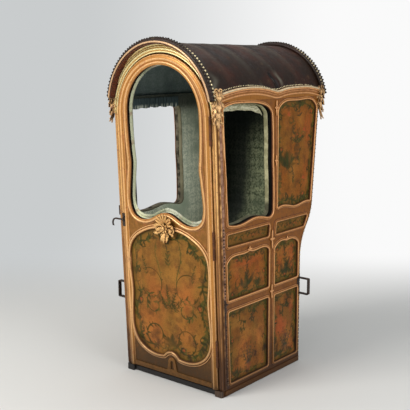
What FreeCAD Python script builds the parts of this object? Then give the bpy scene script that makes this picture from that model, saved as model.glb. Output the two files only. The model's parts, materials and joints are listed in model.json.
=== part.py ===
import FreeCAD, Part
import math
import os

# Sedan chair: a one-seat carrying chair with a glazed door in front, a window
# in each side, a barrel roof covered with leather and iron staples for poles.
# Millimetres. +Z up, the door faces -Y, X across. Every piece is drawn with
# y = 0 on the foot of the front face, and the whole is centred at the end.

V = FreeCAD.Vector

# ---- body ----
WIDTH = 656.0            # over the side frames
DEPTH = 672.0            # foot of the front face to the rear wall, at the floor
LEAN = 2.6               # degrees that the front face leans forward
EAVE = 1478.0            # top of the side frames, where the roof sits
FRAME_T = 20.0           # side frame thickness
BOARD_T = 6.0            # painted boards behind the frames
POCKET = 12.0            # space inside the walls for a dropped window pane
LINING_T = 8.0           # stuffed lining boards
POST_FACE = -6.0         # front edge of the side frames, off the front plane
POST_W = 55.0            # width of the front posts, seen from the side
REAR_POST = 27.0         # width of the rear posts, seen from the side
STILE_Y = 372.0          # front edge of the middle stile, low down
STILE_W = 50.0

# rear wall: upright to the waist, out over the seat, then raked to the roof
REAR_FOOT = 596.0        # where the upright part ends
REAR_SWELL = 112.0       # how far the S-curve goes out
REAR_BEND = 60.0         # how far out its two arcs meet
REAR_BEND_Z = 768.0      # and at what height
REAR_SHOULDER = 900.0    # where the S-curve ends
REAR_RAKE = 52.0         # further lean from there to the eave
REAR_SETBACK = 4.0       # back wall inside the edge of the side frames
BACK_T = 18.0
BACK_LIFT = 4.0          # back clear of the floor
BACK_STILE = 36.0
BACK_SILL_H = 34.0
BACK_HEAD_H = 62.0       # head board over the upper back panel

# rails on the sides and the back, as heights
BASE_TOP = 60.0
RAIL_LOW = 436.0         # top of the lowest panels
RAIL_H = 56.0            # rail between them and the middle panels
SILL = 866.0             # window sill
SILL_H = 40.0            # rail under the window
WAIST_H = 62.0           # height of the narrow panels
BELT_H = 58.0            # rail between them and the middle panels
PANEL_TOP = 1434.0
BEAD_W = 9.0
BEAD_H = 5.0

# ---- door ----
DOOR_HALF = 303.0
DOOR_GAP = 5.0           # round the door
DOOR_FOOT = 38.0
DOOR_ARCH_Z = 1392.0     # centre of the door's round head
DOOR_FACE = -12.0
DOOR_T = 20.0
CHANNEL_T = 6.0          # glass channel in the door
CORE_T = 16.0            # inner, lined half of the door
WIN_HALF = 240.0
WIN_ARCH_Z = 1405.0
WIN_SILL = 857.0
WIN_SILL_RISE = 50.0     # how far the sill rises at its middle
WIN_BEAD = 14.0
ROLL_W = 36.0            # round moulding along the edge of the door
ROLL_H = 9.0
STILE_IN = 262.0         # half width of the lower door panel
SILL_RAIL = 35.0         # rail between that panel's head and the window
PANEL_RISE = 138.0       # how far the panel's head rises
PANEL_FOOT = 205.0
PANEL_LOBE = 140.0
HUMP = 34.0
HOOP_T = 18.0
HOOP_W = 46.0
SWING_ROOM = 6.0         # door to the hoop behind it

# ---- roof ----
VAULT_Z = 1420.0
VAULT_FRONT = 330.0      # radius at the front
VAULT_REAR_A = 334.0     # half width and rise at the rear
VAULT_REAR_B = 315.0
STAVES = 32              # narrow boards that make up the barrel
LEATHER_T = 4.0
ROOF_BOARD_T = 12.0
CEILING_T = 8.0
RIM_H = 22.0
RIM_OVER = 45.0          # overhang of the roof in front of the front plane
RIM_D = 28.0
REAR_RIM_H = 21.0
REAR_RIM_D = 32.0
REAR_OVER = 44.0         # roof past the rear wall
CORNICE_FACE = -4.0
CORNICE_T = 38.0
RIDGES = 4
RIDGE_H = 4.5
SIDE_CORNICE_T = 15.0
SIDE_CORNICE_LOW = 1468.0
HUMP_Z = 1528.0
DIP_Z = 1494.0
RIB_H = 9.0
RIB_OUT = 4.0

# ---- fittings ----
HINGE_L = 138.0
HINGE_Z = (228.0, 780.0, 1336.0)
KNUCKLE_R = 5.5
PIN_R = 2.4
PIN_ROOM = 0.2
LEAF_T = 2.0
STAPLE_Z = 440.0
STAPLE_H = 92.0
STAPLE_OUT = 70.0
STAPLE_W = 20.0
STAPLE_T = 6.0
PLATE_T = 3.0
FOOT_H = 32.0
FOOT_W = 48.0
ORNAMENT_L = 150.0

# ---- inside ----
FLOOR_Z = 34.0
FLOOR_T = 18.0
SILL_D = 38.0
SEAT_Y = 330.0
SEAT_Z = 400.0
SEAT_T = 18.0
CUSHION_T = 70.0
SEAT_FRONT_T = 16.0
GALLOON_IN = 7.0
PELMET_T = 10.0
PELMET_H = 60.0

# ---- worked out ----
HALF = WIDTH / 2
RAIL_MID = RAIL_LOW + RAIL_H           # foot of the middle panels
WAIST_TOP = SILL - SILL_H              # narrow panels
WAIST_MID = WAIST_TOP - WAIST_H
WAIST_LOW = WAIST_MID - BELT_H         # top of the middle panels
INNER = HALF - FRAME_T                 # inner face of the side frames
BOARD_X = INNER - BOARD_T
LINING_X = BOARD_X - POCKET            # outer face of the lining boards
CABIN_X = LINING_X - LINING_T
PANEL_HEAD = WIN_SILL - SILL_RAIL
PANEL_SPRING = PANEL_HEAD - PANEL_RISE
TAN = math.tan(math.radians(LEAN))
DOOR_BACK = DOOR_FACE + DOOR_T + CHANNEL_T + CORE_T
HOOP_Y = DOOR_BACK + SWING_ROOM
WALL_Y = HOOP_Y + HOOP_T               # where boards and linings start
HINGE_X = INNER - DOOR_GAP / 2
HINGE_Y = DOOR_FACE - KNUCKLE_R
BIG = 3000.0

shapes = {}


def lean(shape):
    """Turns what is drawn on an upright front plane onto the leaning one."""
    s = shape.copy()
    s.rotate(V(0, 0, 0), V(1, 0, 0), LEAN)
    return s


def front(z, off=0.0):
    """y of the leaning front plane at height z, moved in by off."""
    return off / math.cos(math.radians(LEAN)) - z * TAN


def mirror(shape):
    return shape.mirror(V(0, 0, 0), V(1, 0, 0))


def xz(u, v, y=0.0):
    return V(u, y, v)


def yz(u, v, x=0.0):
    return V(x, u, v)


def seg(p, q):
    return Part.makeLine(p, q)


def arc(p, m, q):
    return Part.Arc(p, m, q).toShape()


def tangent_arc(p, t, q):
    """Arc from p, leaving along t, to q; and its direction at q."""
    c = q - p
    t = V(t)
    t.normalize()
    side = t - c * (t.dot(c) / c.dot(c))
    a = t.getAngle(c)
    side.normalize()
    mid = (p + q) * 0.5 + side * (c.Length / 2 * math.tan(a / 2))
    end = c * (2 * t.dot(c) / c.dot(c)) - t
    return arc(p, mid, q), end


def spline(points):
    c = Part.BSplineCurve()
    c.interpolate(Points=points)
    return c.toShape()


def prism(edges, direction):
    return Part.Face(Part.Wire(edges)).extrude(direction)


def rounded(points, r):
    """Edges of a closed polygon with its corners rounded."""
    n = len(points)
    cuts = []
    for i, p in enumerate(points):
        a, b = points[i - 1] - p, points[(i + 1) % n] - p
        half = a.getAngle(b) / 2
        d = min(r / math.tan(half), 0.45 * a.Length, 0.45 * b.Length)
        a.normalize()
        b.normalize()
        m = a + b
        m.normalize()
        rr = d * math.tan(half)
        mid = p + m * (rr / math.sin(half) - rr)
        cuts.append((p + a * d, mid, p + b * d))
    out = []
    for i, (s, m, e) in enumerate(cuts):
        out.append(arc(s, m, e))
        nxt = cuts[(i + 1) % n][0]
        if (nxt - e).Length > 1e-6:
            out.append(seg(e, nxt))
    return out


def grow(edges, d):
    """Edges of the outline d outside (or inside, if negative), each redrawn
    from points of the offset curve so that they meet end to end."""
    raw = Part.__sortEdges__(Part.Wire(edges).makeOffset2D(d, 0, False, False, False).Edges)
    runs = [list(e.discretize(Number=max(3, int(e.Length / 14) + 3))) for e in raw]
    if (runs[0][-1] - runs[1][0]).Length > (runs[0][0] - runs[1][0]).Length:
        runs[0].reverse()
    for i in range(1, len(runs)):
        if (runs[i - 1][-1] - runs[i][0]).Length > (runs[i - 1][-1] - runs[i][-1]).Length:
            runs[i].reverse()
    out = []
    for i, (e, p) in enumerate(zip(raw, runs)):
        p[0] = runs[i - 1][-1]
        if e.Curve.TypeId == "Part::GeomLine" or e.Length < 4:
            out.append(seg(p[0], p[-1]))
        elif e.Curve.TypeId == "Part::GeomCircle":
            out.append(arc(p[0], p[len(p) // 2], p[-1]))
        else:
            out.append(spline(p))
    return out


def pad(edges, d, direction):
    """A raised field that reaches d past an outline: cut later, it is a bead."""
    return prism(grow(edges, d), direction)


def ring(edges, d, direction):
    """A band of width d round an outline, as a solid."""
    outer = prism(grow(edges, d), direction)
    inner = prism(edges, direction)
    return outer.cut(inner) if d > 0 else inner.cut(outer)


# ------------------------------------------------------------------ profiles

def rear_edges(shift, z0, z1):
    """Rear line from z0 up to z1, moved in by shift: upright, S-curve, rake."""
    y0 = DEPTH - shift
    if z1 <= REAR_FOOT:
        return [seg(yz(y0, z0), yz(y0, z1))], yz(y0, z1)
    y1 = y0 + REAR_SWELL
    rake = REAR_RAKE / (EAVE - REAR_SHOULDER)
    bend = yz(y0 + REAR_BEND, REAR_BEND_Z)
    low, t = tangent_arc(yz(y0, REAR_FOOT), V(0, 0, 1), bend)
    high, t = tangent_arc(bend, t, yz(y1, REAR_SHOULDER))
    top = yz(y1 + rake * (z1 - REAR_SHOULDER), z1)
    return [seg(yz(y0, z0), yz(y0, REAR_FOOT)), low, high, seg(yz(y1, REAR_SHOULDER), top)], top


def rear_y(z):
    if z <= REAR_FOOT:
        return DEPTH
    if z >= REAR_SHOULDER:
        return DEPTH + REAR_SWELL + REAR_RAKE * (z - REAR_SHOULDER) / (EAVE - REAR_SHOULDER)
    edge = rear_edges(0, 0, EAVE)[0][1 if z <= REAR_BEND_Z else 2]
    line = seg(yz(0, z), yz(BIG, z))
    return edge.distToShape(line)[1][0][0].y


def side_slab(x0, x1, z0, z1, front_off, rear_shift):
    """A slab with the outline of the side, between two x and two heights."""
    rear, top = rear_edges(rear_shift, z0, z1)
    bottom = yz(DEPTH - rear_shift, z0)
    p0 = yz(front(z0, front_off), z0)
    p1 = yz(front(z1, front_off), z1)
    edges = [seg(p0, bottom)] + rear + [seg(top, p1), seg(p1, p0)]
    s = prism(edges, V(x1 - x0, 0, 0))
    s.translate(V(x0, 0, 0))
    return s


def side_window():
    """Window in the side: flat basket arch, and a sill with a small step."""
    h = SILL
    y0 = front(h, POST_W + POST_FACE + 8)
    yt = front(PANEL_TOP, POST_W + POST_FACE)
    y1 = STILE_Y + 33
    y2 = STILE_Y + 14
    w = y1 - y0
    sill = spline([yz(y0 + 8, h + 8), yz(y0 + 0.14 * w, h - 2), yz(y0 + 0.36 * w, h),
                   yz(y0 + 0.56 * w, h + 14), yz(y0 + 0.80 * w, h + 6),
                   yz(y1 - 14, h + 3), yz(y1, h + 22)])
    cusp = 1150.0
    right = spline([yz(y1, h + 22), yz(y1 - 1, h + 0.62 * (cusp - h)), yz(y1 - 9, cusp)])
    right2 = spline([yz(y1 - 9, cusp), yz(y1 - 9, cusp + 90), yz(y2, PANEL_TOP - 40)])
    head = spline([yz(y2, PANEL_TOP - 40), yz(y2 - 22, PANEL_TOP - 13), yz(y2 - 70, PANEL_TOP + 8),
                   yz(y2 - 0.58 * (y2 - yt), PANEL_TOP + 24), yz(yt + 62, PANEL_TOP + 20),
                   yz(yt, PANEL_TOP + 2)])
    left = seg(yz(yt, PANEL_TOP + 2), yz(y0 + 8, h + 8))
    return [sill, right, right2, head, left]


def side_openings():
    """The painted fields of one side, row by row, as closed outlines."""
    f = POST_W + POST_FACE
    s0, s1 = STILE_Y, STILE_Y + STILE_W
    out = []
    # lowest row
    out.append(rounded([yz(front(BASE_TOP, f), BASE_TOP), yz(s0, BASE_TOP), yz(s0, RAIL_LOW), yz(front(RAIL_LOW, f), RAIL_LOW)], 7))
    out.append(rounded([yz(s1, BASE_TOP), yz(DEPTH - REAR_POST, BASE_TOP), yz(DEPTH - REAR_POST, RAIL_LOW), yz(s1, RAIL_LOW)], 7))
    # middle row, with a shaped head that rises to a point
    a, b = front(RAIL_MID, f), s0
    mid = (a + b) / 2
    q = front(WAIST_LOW, f)
    out.append([seg(yz(a, RAIL_MID), yz(b, RAIL_MID)), seg(yz(b, RAIL_MID), yz(b, WAIST_LOW - 12)),
                spline([yz(b, WAIST_LOW - 12), yz(b - 26, WAIST_LOW + 4), yz(mid + 40, WAIST_LOW + 4), yz(mid, WAIST_LOW + 12)]),
                spline([yz(mid, WAIST_LOW + 12), yz(mid - 40, WAIST_LOW + 4), yz(q + 34, WAIST_LOW), yz(q, WAIST_LOW - 24)]),
                seg(yz(q, WAIST_LOW - 24), yz(a, RAIL_MID))])
    e = DEPTH - REAR_POST
    m = (s1 + e) / 2
    out.append([seg(yz(s1, RAIL_MID), yz(e, RAIL_MID)), seg(yz(e, RAIL_MID), yz(e, WAIST_LOW - 20)),
                spline([yz(e, WAIST_LOW - 20), yz(e - 22, WAIST_LOW - 4), yz(m, WAIST_LOW + 6)]),
                spline([yz(m, WAIST_LOW + 6), yz(s1 + 24, WAIST_LOW + 2), yz(s1, WAIST_LOW - 16)]),
                seg(yz(s1, WAIST_LOW - 16), yz(s1, RAIL_MID))])
    # narrow row under the window
    out.append(rounded([yz(front(WAIST_MID, f + 6), WAIST_MID), yz(s0 - 4, WAIST_MID - 2), yz(s0 + 4, WAIST_TOP), yz(front(WAIST_TOP, f + 6), WAIST_TOP)], 9))
    out.append(rounded([yz(s1 + 6, WAIST_MID - 2), yz(rear_y(WAIST_MID) - REAR_POST - 4, WAIST_MID), yz(rear_y(WAIST_TOP) - REAR_POST - 4, WAIST_TOP), yz(s1 + 12, WAIST_TOP)], 9))
    # tall panel behind the window, raked with the rear post
    z0, z1 = SILL + 34, PANEL_TOP
    l0, l1 = s1 + 22, s1 + 20
    r0, r1 = rear_y(z0) - REAR_POST, rear_y(z1) - REAR_POST
    out.append([spline([yz(l0, z0), yz((l0 + r0) / 2 - 60, z0 + 4), yz((l0 + r0) / 2, z0 - 8), yz(r0 - 50, z0 + 4), yz(r0, z0)]),
                seg(yz(r0, z0), yz(r1, z1 - 26)),
                spline([yz(r1, z1 - 26), yz(r1 - 26, z1 + 2), yz((l1 + r1) / 2, z1 + 16), yz(l1 + 40, z1 + 6), yz(l1, z1 - 24)]),
                seg(yz(l1, z1 - 24), yz(l0, z0))])
    return out


def door_outline(grow_by=0.0):
    h = DOOR_HALF + grow_by
    foot = DOOR_FOOT - grow_by
    z = DOOR_ARCH_Z
    return [seg(xz(-h, foot), xz(h, foot)), seg(xz(h, foot), xz(h, z)),
            arc(xz(h, z), xz(0, z + h), xz(-h, z)), seg(xz(-h, z), xz(-h, foot))]


def door_window():
    """Door window: round head, slightly waisted sides, a sill like a bow."""
    h, z, s, r = WIN_HALF, WIN_ARCH_Z, WIN_SILL, WIN_SILL_RISE
    side = lambda k: spline([xz(k * h, z), xz(k * (h - 7), z - 205), xz(k * (h - 12), z - 255)])
    low = lambda k: spline([xz(k * (h - 12), z - 255), xz(k * (h - 2), z - 340), xz(k * (h + 5), s + 0.27 * (z - s)),
                            xz(k * (h + 4), s + 68), xz(k * (h - 14), s + 26), xz(k * 0.63 * h, s),
                            xz(k * 0.37 * h, s + 0.36 * r), xz(k * 0.16 * h, s + 0.86 * r), xz(0, s + r)])
    left = [low(-1), side(-1)]
    return Part.__sortEdges__([low(1), side(1), arc(xz(h, z), xz(0, z + h), xz(-h, z))] + left)


def door_field():
    """Lower field of the door: arched up to the cartouche, lobed at the foot."""
    h = STILE_IN
    top = lambda k: spline([xz(k * h, PANEL_SPRING), xz(k * 0.90 * h, PANEL_SPRING + 0.42 * (PANEL_HEAD - PANEL_SPRING)),
                            xz(k * 0.62 * h, PANEL_SPRING + 0.80 * (PANEL_HEAD - PANEL_SPRING)),
                            xz(k * 0.30 * h, PANEL_HEAD), xz(0, PANEL_HEAD - 4)])
    up = lambda t: PANEL_FOOT + t * (PANEL_SPRING - PANEL_FOOT)
    side = lambda k: spline([xz(k * h, PANEL_SPRING), xz(k * (h - 1), up(0.71)), xz(k * (h - 7), up(0.553)), xz(k * (h - 2), up(0.407)),
                             xz(k * (h + 3), up(0.198)), xz(k * (h - 8), PANEL_FOOT + 30), xz(k * 0.86 * h, PANEL_FOOT - 16),
                             xz(k * 0.60 * h, PANEL_LOBE + 8), xz(k * 0.30 * h, PANEL_LOBE), xz(k * 0.20 * h, PANEL_LOBE + 4)])
    foot = lambda k: spline([xz(k * 0.20 * h, PANEL_LOBE + 4), xz(k * 0.12 * h, PANEL_LOBE + 0.7 * HUMP), xz(0, PANEL_LOBE + HUMP)])
    return Part.__sortEdges__([top(1), top(-1), side(1), side(-1), foot(1), foot(-1)])


def vault(a, b, y=0.0):
    """Closed roof profile in an XZ plane: the edges of its staves."""
    low = EAVE - 30
    t = math.asin((low - VAULT_Z) / b)
    angles = [t + (math.pi - 2 * t) * i / STAVES for i in range(STAVES + 1)]
    pts = [V(a * math.cos(u), y, VAULT_Z + b * math.sin(u)) for u in angles]
    return [seg(p, q) for p, q in zip(pts, pts[1:] + pts[:1])]


ABOVE_EAVE = Part.makeBox(2 * BIG, 2 * BIG, BIG, V(-BIG, -BIG, EAVE))


def vault_solid(drop, y_front=None, y_rear=None):
    """The roof volume under the surface that lies drop inside the leather,
    between a plane that leans with the front and an upright one behind."""
    f = Part.Wire(vault(VAULT_FRONT - drop, VAULT_FRONT - drop, -RIM_OVER))
    f.rotate(V(0, 0, 0), V(1, 0, 0), LEAN)
    r = Part.Wire(vault(VAULT_REAR_A - drop, VAULT_REAR_B - drop, ROOF_END))
    s = Part.makeLoft([f, r], True, True).common(ABOVE_EAVE)
    if y_front is not None:
        s = s.common(lean(Part.makeBox(2 * BIG, 2 * BIG, 2 * BIG, V(-BIG, y_front, -BIG))))
    if y_rear is not None:
        s = s.common(Part.makeBox(2 * BIG, 2 * BIG, 2 * BIG, V(-BIG, y_rear - 2 * BIG, -BIG)))
    return s


REAR_TOP = DEPTH + REAR_SWELL + REAR_RAKE
ROOF_END = REAR_TOP + REAR_OVER
ROOF_START = CORNICE_FACE + CORNICE_T

# ------------------------------------------------------------------ base and floor
rail_back = DEPTH - REAR_SETBACK - BACK_T - 1
sill_front = prism([seg(V(-INNER, 14, 4), V(INNER, 14, 4)), seg(V(INNER, 14, 4), V(INNER, rail_back, 4)),
                    seg(V(INNER, rail_back, 4), V(-INNER, rail_back, 4)), seg(V(-INNER, rail_back, 4), V(-INNER, 14, 4))],
                   V(0, 0, FLOOR_Z - 5))
hole = Part.makeBox(2 * (INNER - SILL_D), rail_back - 14 - 2 * SILL_D, FLOOR_Z, V(-(INNER - SILL_D), 14 + SILL_D, 0))
shapes["base_frame"] = sill_front.cut(hole)
shapes["floor_board"] = side_slab(-BOARD_X, BOARD_X, FLOOR_Z - 1, FLOOR_Z + FLOOR_T, WALL_Y, REAR_SETBACK + BACK_T + BOARD_T)

# ------------------------------------------------------------------ sides
frame = side_slab(INNER, HALF, 0, EAVE, POST_FACE, 0)
window = side_window()
fields = side_openings()
pads = [pad(f, BEAD_W, V(BEAD_H + 1, 0, 0)) for f in [window] + fields]
for p in pads:
    p.translate(V(HALF - 1, 0, 0))
skirt = side_slab(HALF - 1, HALF + 4, 4, 28, POST_FACE + 14, 4)
frame = frame.multiFuse(pads + [skirt])
for f in [window] + fields:
    frame = frame.cut(prism(f, V(BIG, 0, 0)))
shapes["side_frame_right"] = frame
shapes["side_frame_left"] = mirror(frame)

# painted boards behind the frames, each with its own window
board = side_slab(BOARD_X, INNER, FLOOR_Z + FLOOR_T, EAVE, WALL_Y, REAR_SETBACK + BACK_T)
board = board.cut(prism(window, V(BIG, 0, 0)))
shapes["side_panel_right"] = board
shapes["side_panel_left"] = mirror(board)

# stuffed linings, a glass pocket inside the boards; galloon round the window
lining = side_slab(CABIN_X, LINING_X, FLOOR_Z + FLOOR_T, EAVE, WALL_Y, REAR_SETBACK + BACK_T + BOARD_T + LINING_T)
lining = lining.cut(prism(window, V(BIG, 0, 0)))
shapes["side_lining_right"] = lining
shapes["side_lining_left"] = mirror(lining)
galloon = ring(window, -GALLOON_IN, V(LINING_T + 6, 0, 0))
galloon.translate(V(CABIN_X - 2, 0, 0))
galloon = galloon.common(side_slab(0, BIG, 0, EAVE, WALL_Y, 0))
shapes["side_galloon_right"] = galloon
shapes["side_galloon_left"] = mirror(galloon)

# pelmet of pleated stuff over each window, inside
pelmet = Part.makeBox(PELMET_T, STILE_Y - 10, PELMET_H, V(CABIN_X - 2 - PELMET_T, front(PANEL_TOP - PELMET_H / 2, WALL_Y + 6), PANEL_TOP - PELMET_H / 2))
shapes["pelmet_right"] = pelmet
shapes["pelmet_left"] = mirror(pelmet)

# ------------------------------------------------------------------ back wall
inner_roof = vault_solid(LEATHER_T + ROOF_BOARD_T)
under = Part.makeBox(2 * INNER, 2 * BIG, EAVE, V(-INNER, -BIG, 0))
cabin = inner_roof.fuse(under)


def back_sheet(half, z0, z1, shift, t):
    outer, top = rear_edges(shift, z0, z1)
    inner, itop = rear_edges(shift + t, z0, z1)
    p = yz(DEPTH - shift, z0)
    q = yz(DEPTH - shift - t, z0)
    w = Part.Wire(Part.__sortEdges__(outer + inner + [seg(top, itop), seg(p, q)]))
    s = Part.Face(w).extrude(V(2 * half, 0, 0))
    s.translate(V(-half, 0, 0))
    return s


back = back_sheet(INNER, BACK_LIFT, VAULT_Z + VAULT_REAR_B, REAR_SETBACK, BACK_T).common(cabin)
stile_in = INNER - BACK_STILE
between = lambda z0, z1: Part.makeBox(2 * stile_in, BIG, z1 - z0, V(-stile_in, 0, z0))
side = Part.makeBox(BACK_STILE, BIG, EAVE - BACK_LIFT, V(stile_in, 0, BACK_LIFT))
shapes["back_stile_right"] = back.common(side)
shapes["back_stile_left"] = mirror(shapes["back_stile_right"])
# rails between the stiles, level with those of the sides
rails = [(BACK_LIFT, BASE_TOP), (RAIL_LOW, RAIL_MID), (WAIST_LOW, WAIST_MID), (WAIST_TOP, SILL + BACK_SILL_H)]
shapes["back_rails"] = Part.makeCompound([back.common(between(z0, z1)) for z0, z1 in rails])
# arched head board under the roof
spring = PANEL_TOP - 40
arched = prism([seg(xz(-stile_in, 0), xz(stile_in, 0)), seg(xz(stile_in, 0), xz(stile_in, spring)),
                arc(xz(stile_in, spring), xz(0, VAULT_Z + VAULT_REAR_B - BACK_HEAD_H), xz(-stile_in, spring)),
                seg(xz(-stile_in, spring), xz(-stile_in, 0))], V(0, BIG, 0))
head = back.cut(arched).cut(side).cut(mirror(side)).common(Part.makeBox(2 * BIG, 2 * BIG, BIG, V(-BIG, -BIG, spring)))
shapes["back_head"] = head
shapes["back_panel"] = back_sheet(BOARD_X, FLOOR_Z + FLOOR_T, VAULT_Z + VAULT_REAR_B, REAR_SETBACK + BACK_T, BOARD_T).common(cabin)
soft = vault_solid(LEATHER_T + ROOF_BOARD_T + CEILING_T).fuse(Part.makeBox(2 * INNER, 2 * BIG, EAVE, V(-INNER, -BIG, 0)))
shapes["back_lining"] = back_sheet(BOARD_X, FLOOR_Z + FLOOR_T, VAULT_Z + VAULT_REAR_B, REAR_SETBACK + BACK_T + BOARD_T, LINING_T).common(soft)

# ------------------------------------------------------------------ front hoop and cornice
hoop = Part.Face(Part.Wire([seg(xz(-INNER, FLOOR_Z), xz(INNER, FLOOR_Z)), seg(xz(INNER, FLOOR_Z), xz(INNER, EAVE + 6)),
                            seg(xz(INNER, EAVE + 6), xz(-INNER, EAVE + 6)), seg(xz(-INNER, EAVE + 6), xz(-INNER, FLOOR_Z))])).extrude(V(0, HOOP_T, 0))
disc = Part.makeCylinder(VAULT_FRONT - LEATHER_T - ROOF_BOARD_T - 0.6, HOOP_T, V(0, 0, VAULT_Z), V(0, 1, 0))
disc = disc.common(Part.makeBox(2 * BIG, 2 * BIG, BIG, V(-BIG, -BIG, EAVE)))
hoop = hoop.fuse(disc)
open_half = INNER - HOOP_W
hole = prism([seg(xz(-open_half, FLOOR_Z + FLOOR_T + 6), xz(open_half, FLOOR_Z + FLOOR_T + 6)), seg(xz(open_half, FLOOR_Z + FLOOR_T + 6), xz(open_half, DOOR_ARCH_Z)),
              arc(xz(open_half, DOOR_ARCH_Z), xz(0, DOOR_ARCH_Z + open_half), xz(-open_half, DOOR_ARCH_Z)),
              seg(xz(-open_half, DOOR_ARCH_Z), xz(-open_half, FLOOR_Z + FLOOR_T + 6))], V(0, HOOP_T, 0))
hoop = hoop.cut(hole)
hoop.translate(V(0, HOOP_Y, 0))
shapes["front_hoop"] = lean(hoop).common(cabin)

# ridged cornice: the ridges run round the door and die into the roof rim
r0 = DOOR_HALF + DOOR_GAP
r1 = VAULT_Z + VAULT_FRONT - DOOR_ARCH_Z + 2
step = (r1 - r0) / RIDGES
edges = [seg(V(r0, CORNICE_FACE + CORNICE_T, 0), V(r0, CORNICE_FACE, 0))]
for i in range(RIDGES):
    a, b = r0 + i * step, r0 + (i + 1) * step
    pts = [V(a, CORNICE_FACE, 0), V(a + 0.28 * step, CORNICE_FACE - RIDGE_H, 0), V(b - 0.28 * step, CORNICE_FACE - RIDGE_H, 0), V(b, CORNICE_FACE, 0)]
    edges += [seg(p, q) for p, q in zip(pts, pts[1:])]
edges += [seg(V(r1, CORNICE_FACE, 0), V(r1, CORNICE_FACE + CORNICE_T, 0)),
          seg(V(r1, CORNICE_FACE + CORNICE_T, 0), V(r0, CORNICE_FACE + CORNICE_T, 0))]
cornice = Part.Face(Part.Wire(edges)).revolve(V(0, 0, 0), V(0, 1, 0), -180)
cornice.translate(V(0, 0, DOOR_ARCH_Z))
boards = vault_solid(LEATHER_T)
shapes["front_cornice"] = lean(cornice).common(boards)

# ------------------------------------------------------------------ roof
leather = vault_solid(0)
shapes["roof_leather"] = leather.cut(boards)
shapes["roof_boards"] = vault_solid(LEATHER_T, ROOF_START).cut(inner_roof)
ceiling = vault_solid(LEATHER_T + ROOF_BOARD_T, WALL_Y).cut(vault_solid(LEATHER_T + ROOF_BOARD_T + CEILING_T))
keep = side_slab(-BIG, BIG, 0, BIG, WALL_Y, REAR_SETBACK + BACK_T + BOARD_T)
shapes["ceiling_lining"] = ceiling.common(keep)


def arch_ring(r_in, r_out, y0, y1, round_top):
    """Half ring over the roof front, in the leaning plane."""
    bulge = round_top
    pts = [V(r_in, y1, 0), V(r_in, y0, 0), V(r_out - bulge, y0, 0), V(r_out, y0 + bulge, 0), V(r_out, y1 - bulge, 0), V(r_out - bulge, y1, 0)]
    edges = [seg(p, q) for p, q in zip(pts, pts[1:] + pts[:1])]
    s = Part.Face(Part.Wire(edges)).revolve(V(0, 0, 0), V(0, 1, 0), -180)
    s.translate(V(0, 0, VAULT_Z))
    return s


rim = arch_ring(VAULT_FRONT, VAULT_FRONT + RIM_H, -RIM_OVER, RIM_D - RIM_OVER, 7)
shapes["front_rim"] = lean(rim).common(ABOVE_EAVE)
bead = arch_ring(VAULT_FRONT + 2, VAULT_FRONT + 14, -RIM_OVER - 8, -RIM_OVER, 3)
shapes["front_rim_bead"] = lean(bead).common(ABOVE_EAVE)
wr = lambda d, y: Part.Wire(vault(VAULT_REAR_A + d, VAULT_REAR_B + d, y))
rear = Part.makeLoft([wr(REAR_RIM_H - 4, ROOF_END - REAR_RIM_D), wr(REAR_RIM_H, ROOF_END - REAR_RIM_D / 2), wr(REAR_RIM_H - 4, ROOF_END)], True, True)
shapes["rear_rim"] = rear.common(ABOVE_EAVE).cut(leather)

# serpentine gilt cornice along each side, over the joint of wall and roof
y_a = front(SIDE_CORNICE_LOW, POST_FACE)
y_b = rear_y(SIDE_CORNICE_LOW)
L = y_b - y_a
dip_y = y_a + 0.555 * L
top = [spline([yz(y_b, DIP_Z), yz(y_b - 0.12 * L, HUMP_Z - 12), yz(y_b - 0.24 * L, HUMP_Z - 10), yz(dip_y + 26, DIP_Z + 8), yz(dip_y, DIP_Z)]),
       spline([yz(dip_y, DIP_Z), yz(dip_y - 60, DIP_Z + 17), yz(y_a + 0.30 * L, HUMP_Z), yz(y_a + 0.12 * L, HUMP_Z - 14), yz(y_a, DIP_Z - 4)])]
low = [seg(yz(y_a, DIP_Z - 4), yz(y_a, SIDE_CORNICE_LOW)), seg(yz(y_a, SIDE_CORNICE_LOW), yz(y_b, SIDE_CORNICE_LOW)), seg(yz(y_b, SIDE_CORNICE_LOW), yz(y_b, DIP_Z))]
side_cornice = prism(Part.__sortEdges__(top + low), V(SIDE_CORNICE_T, 0, 0))
side_cornice.translate(V(HALF - 12, 0, 0))
# a raised rib follows the serpentine top
lower = [e.translated(V(0, 0, -RIB_H)) for e in top]
ends = [seg(yz(y_a, DIP_Z - 4), yz(y_a, DIP_Z - 4 - RIB_H)), seg(yz(y_b, DIP_Z), yz(y_b, DIP_Z - RIB_H))]
rib = prism(Part.__sortEdges__(top + lower + ends), V(SIDE_CORNICE_T + RIB_OUT, 0, 0))
rib.translate(V(HALF - 12, 0, 0))
side_cornice = side_cornice.fuse(rib)
side_cornice = side_cornice.cut(shapes["side_frame_right"]).cut(leather.fuse(inner_roof)).cut(shapes["front_rim"]).cut(shapes["rear_rim"]).cut(shapes["front_cornice"]).cut(shapes["front_rim_bead"])
side_cornice = sorted(side_cornice.Solids, key=lambda s: s.Volume)[-1]
shapes["side_cornice_right"] = side_cornice
shapes["side_cornice_left"] = mirror(side_cornice)


# ------------------------------------------------------------------ carved corner drops
def drop(x, y, z, out_x, out_y):
    """Acanthus drop: a run of eight-sided sections that swells, thins and curls out."""
    secs = []
    for t, a, b, o in ((0.0, 13, 10, 6), (0.16, 17, 13, 9), (0.34, 12, 9, 3), (0.55, 15, 11, 2), (0.78, 9, 7, 3), (0.93, 7, 6, 9), (1.0, 4, 4, 12)):
        c = V(x + out_x * o, y + out_y * o, z - t * ORNAMENT_L)
        pts = [c + V(a * math.cos(math.radians(u)), b * math.sin(math.radians(u)), 0) for u in range(0, 360, 45)]
        secs.append(Part.Wire([seg(p, q) for p, q in zip(pts, pts[1:] + pts[:1])]))
    return Part.makeLoft(secs, True, True)


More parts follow.
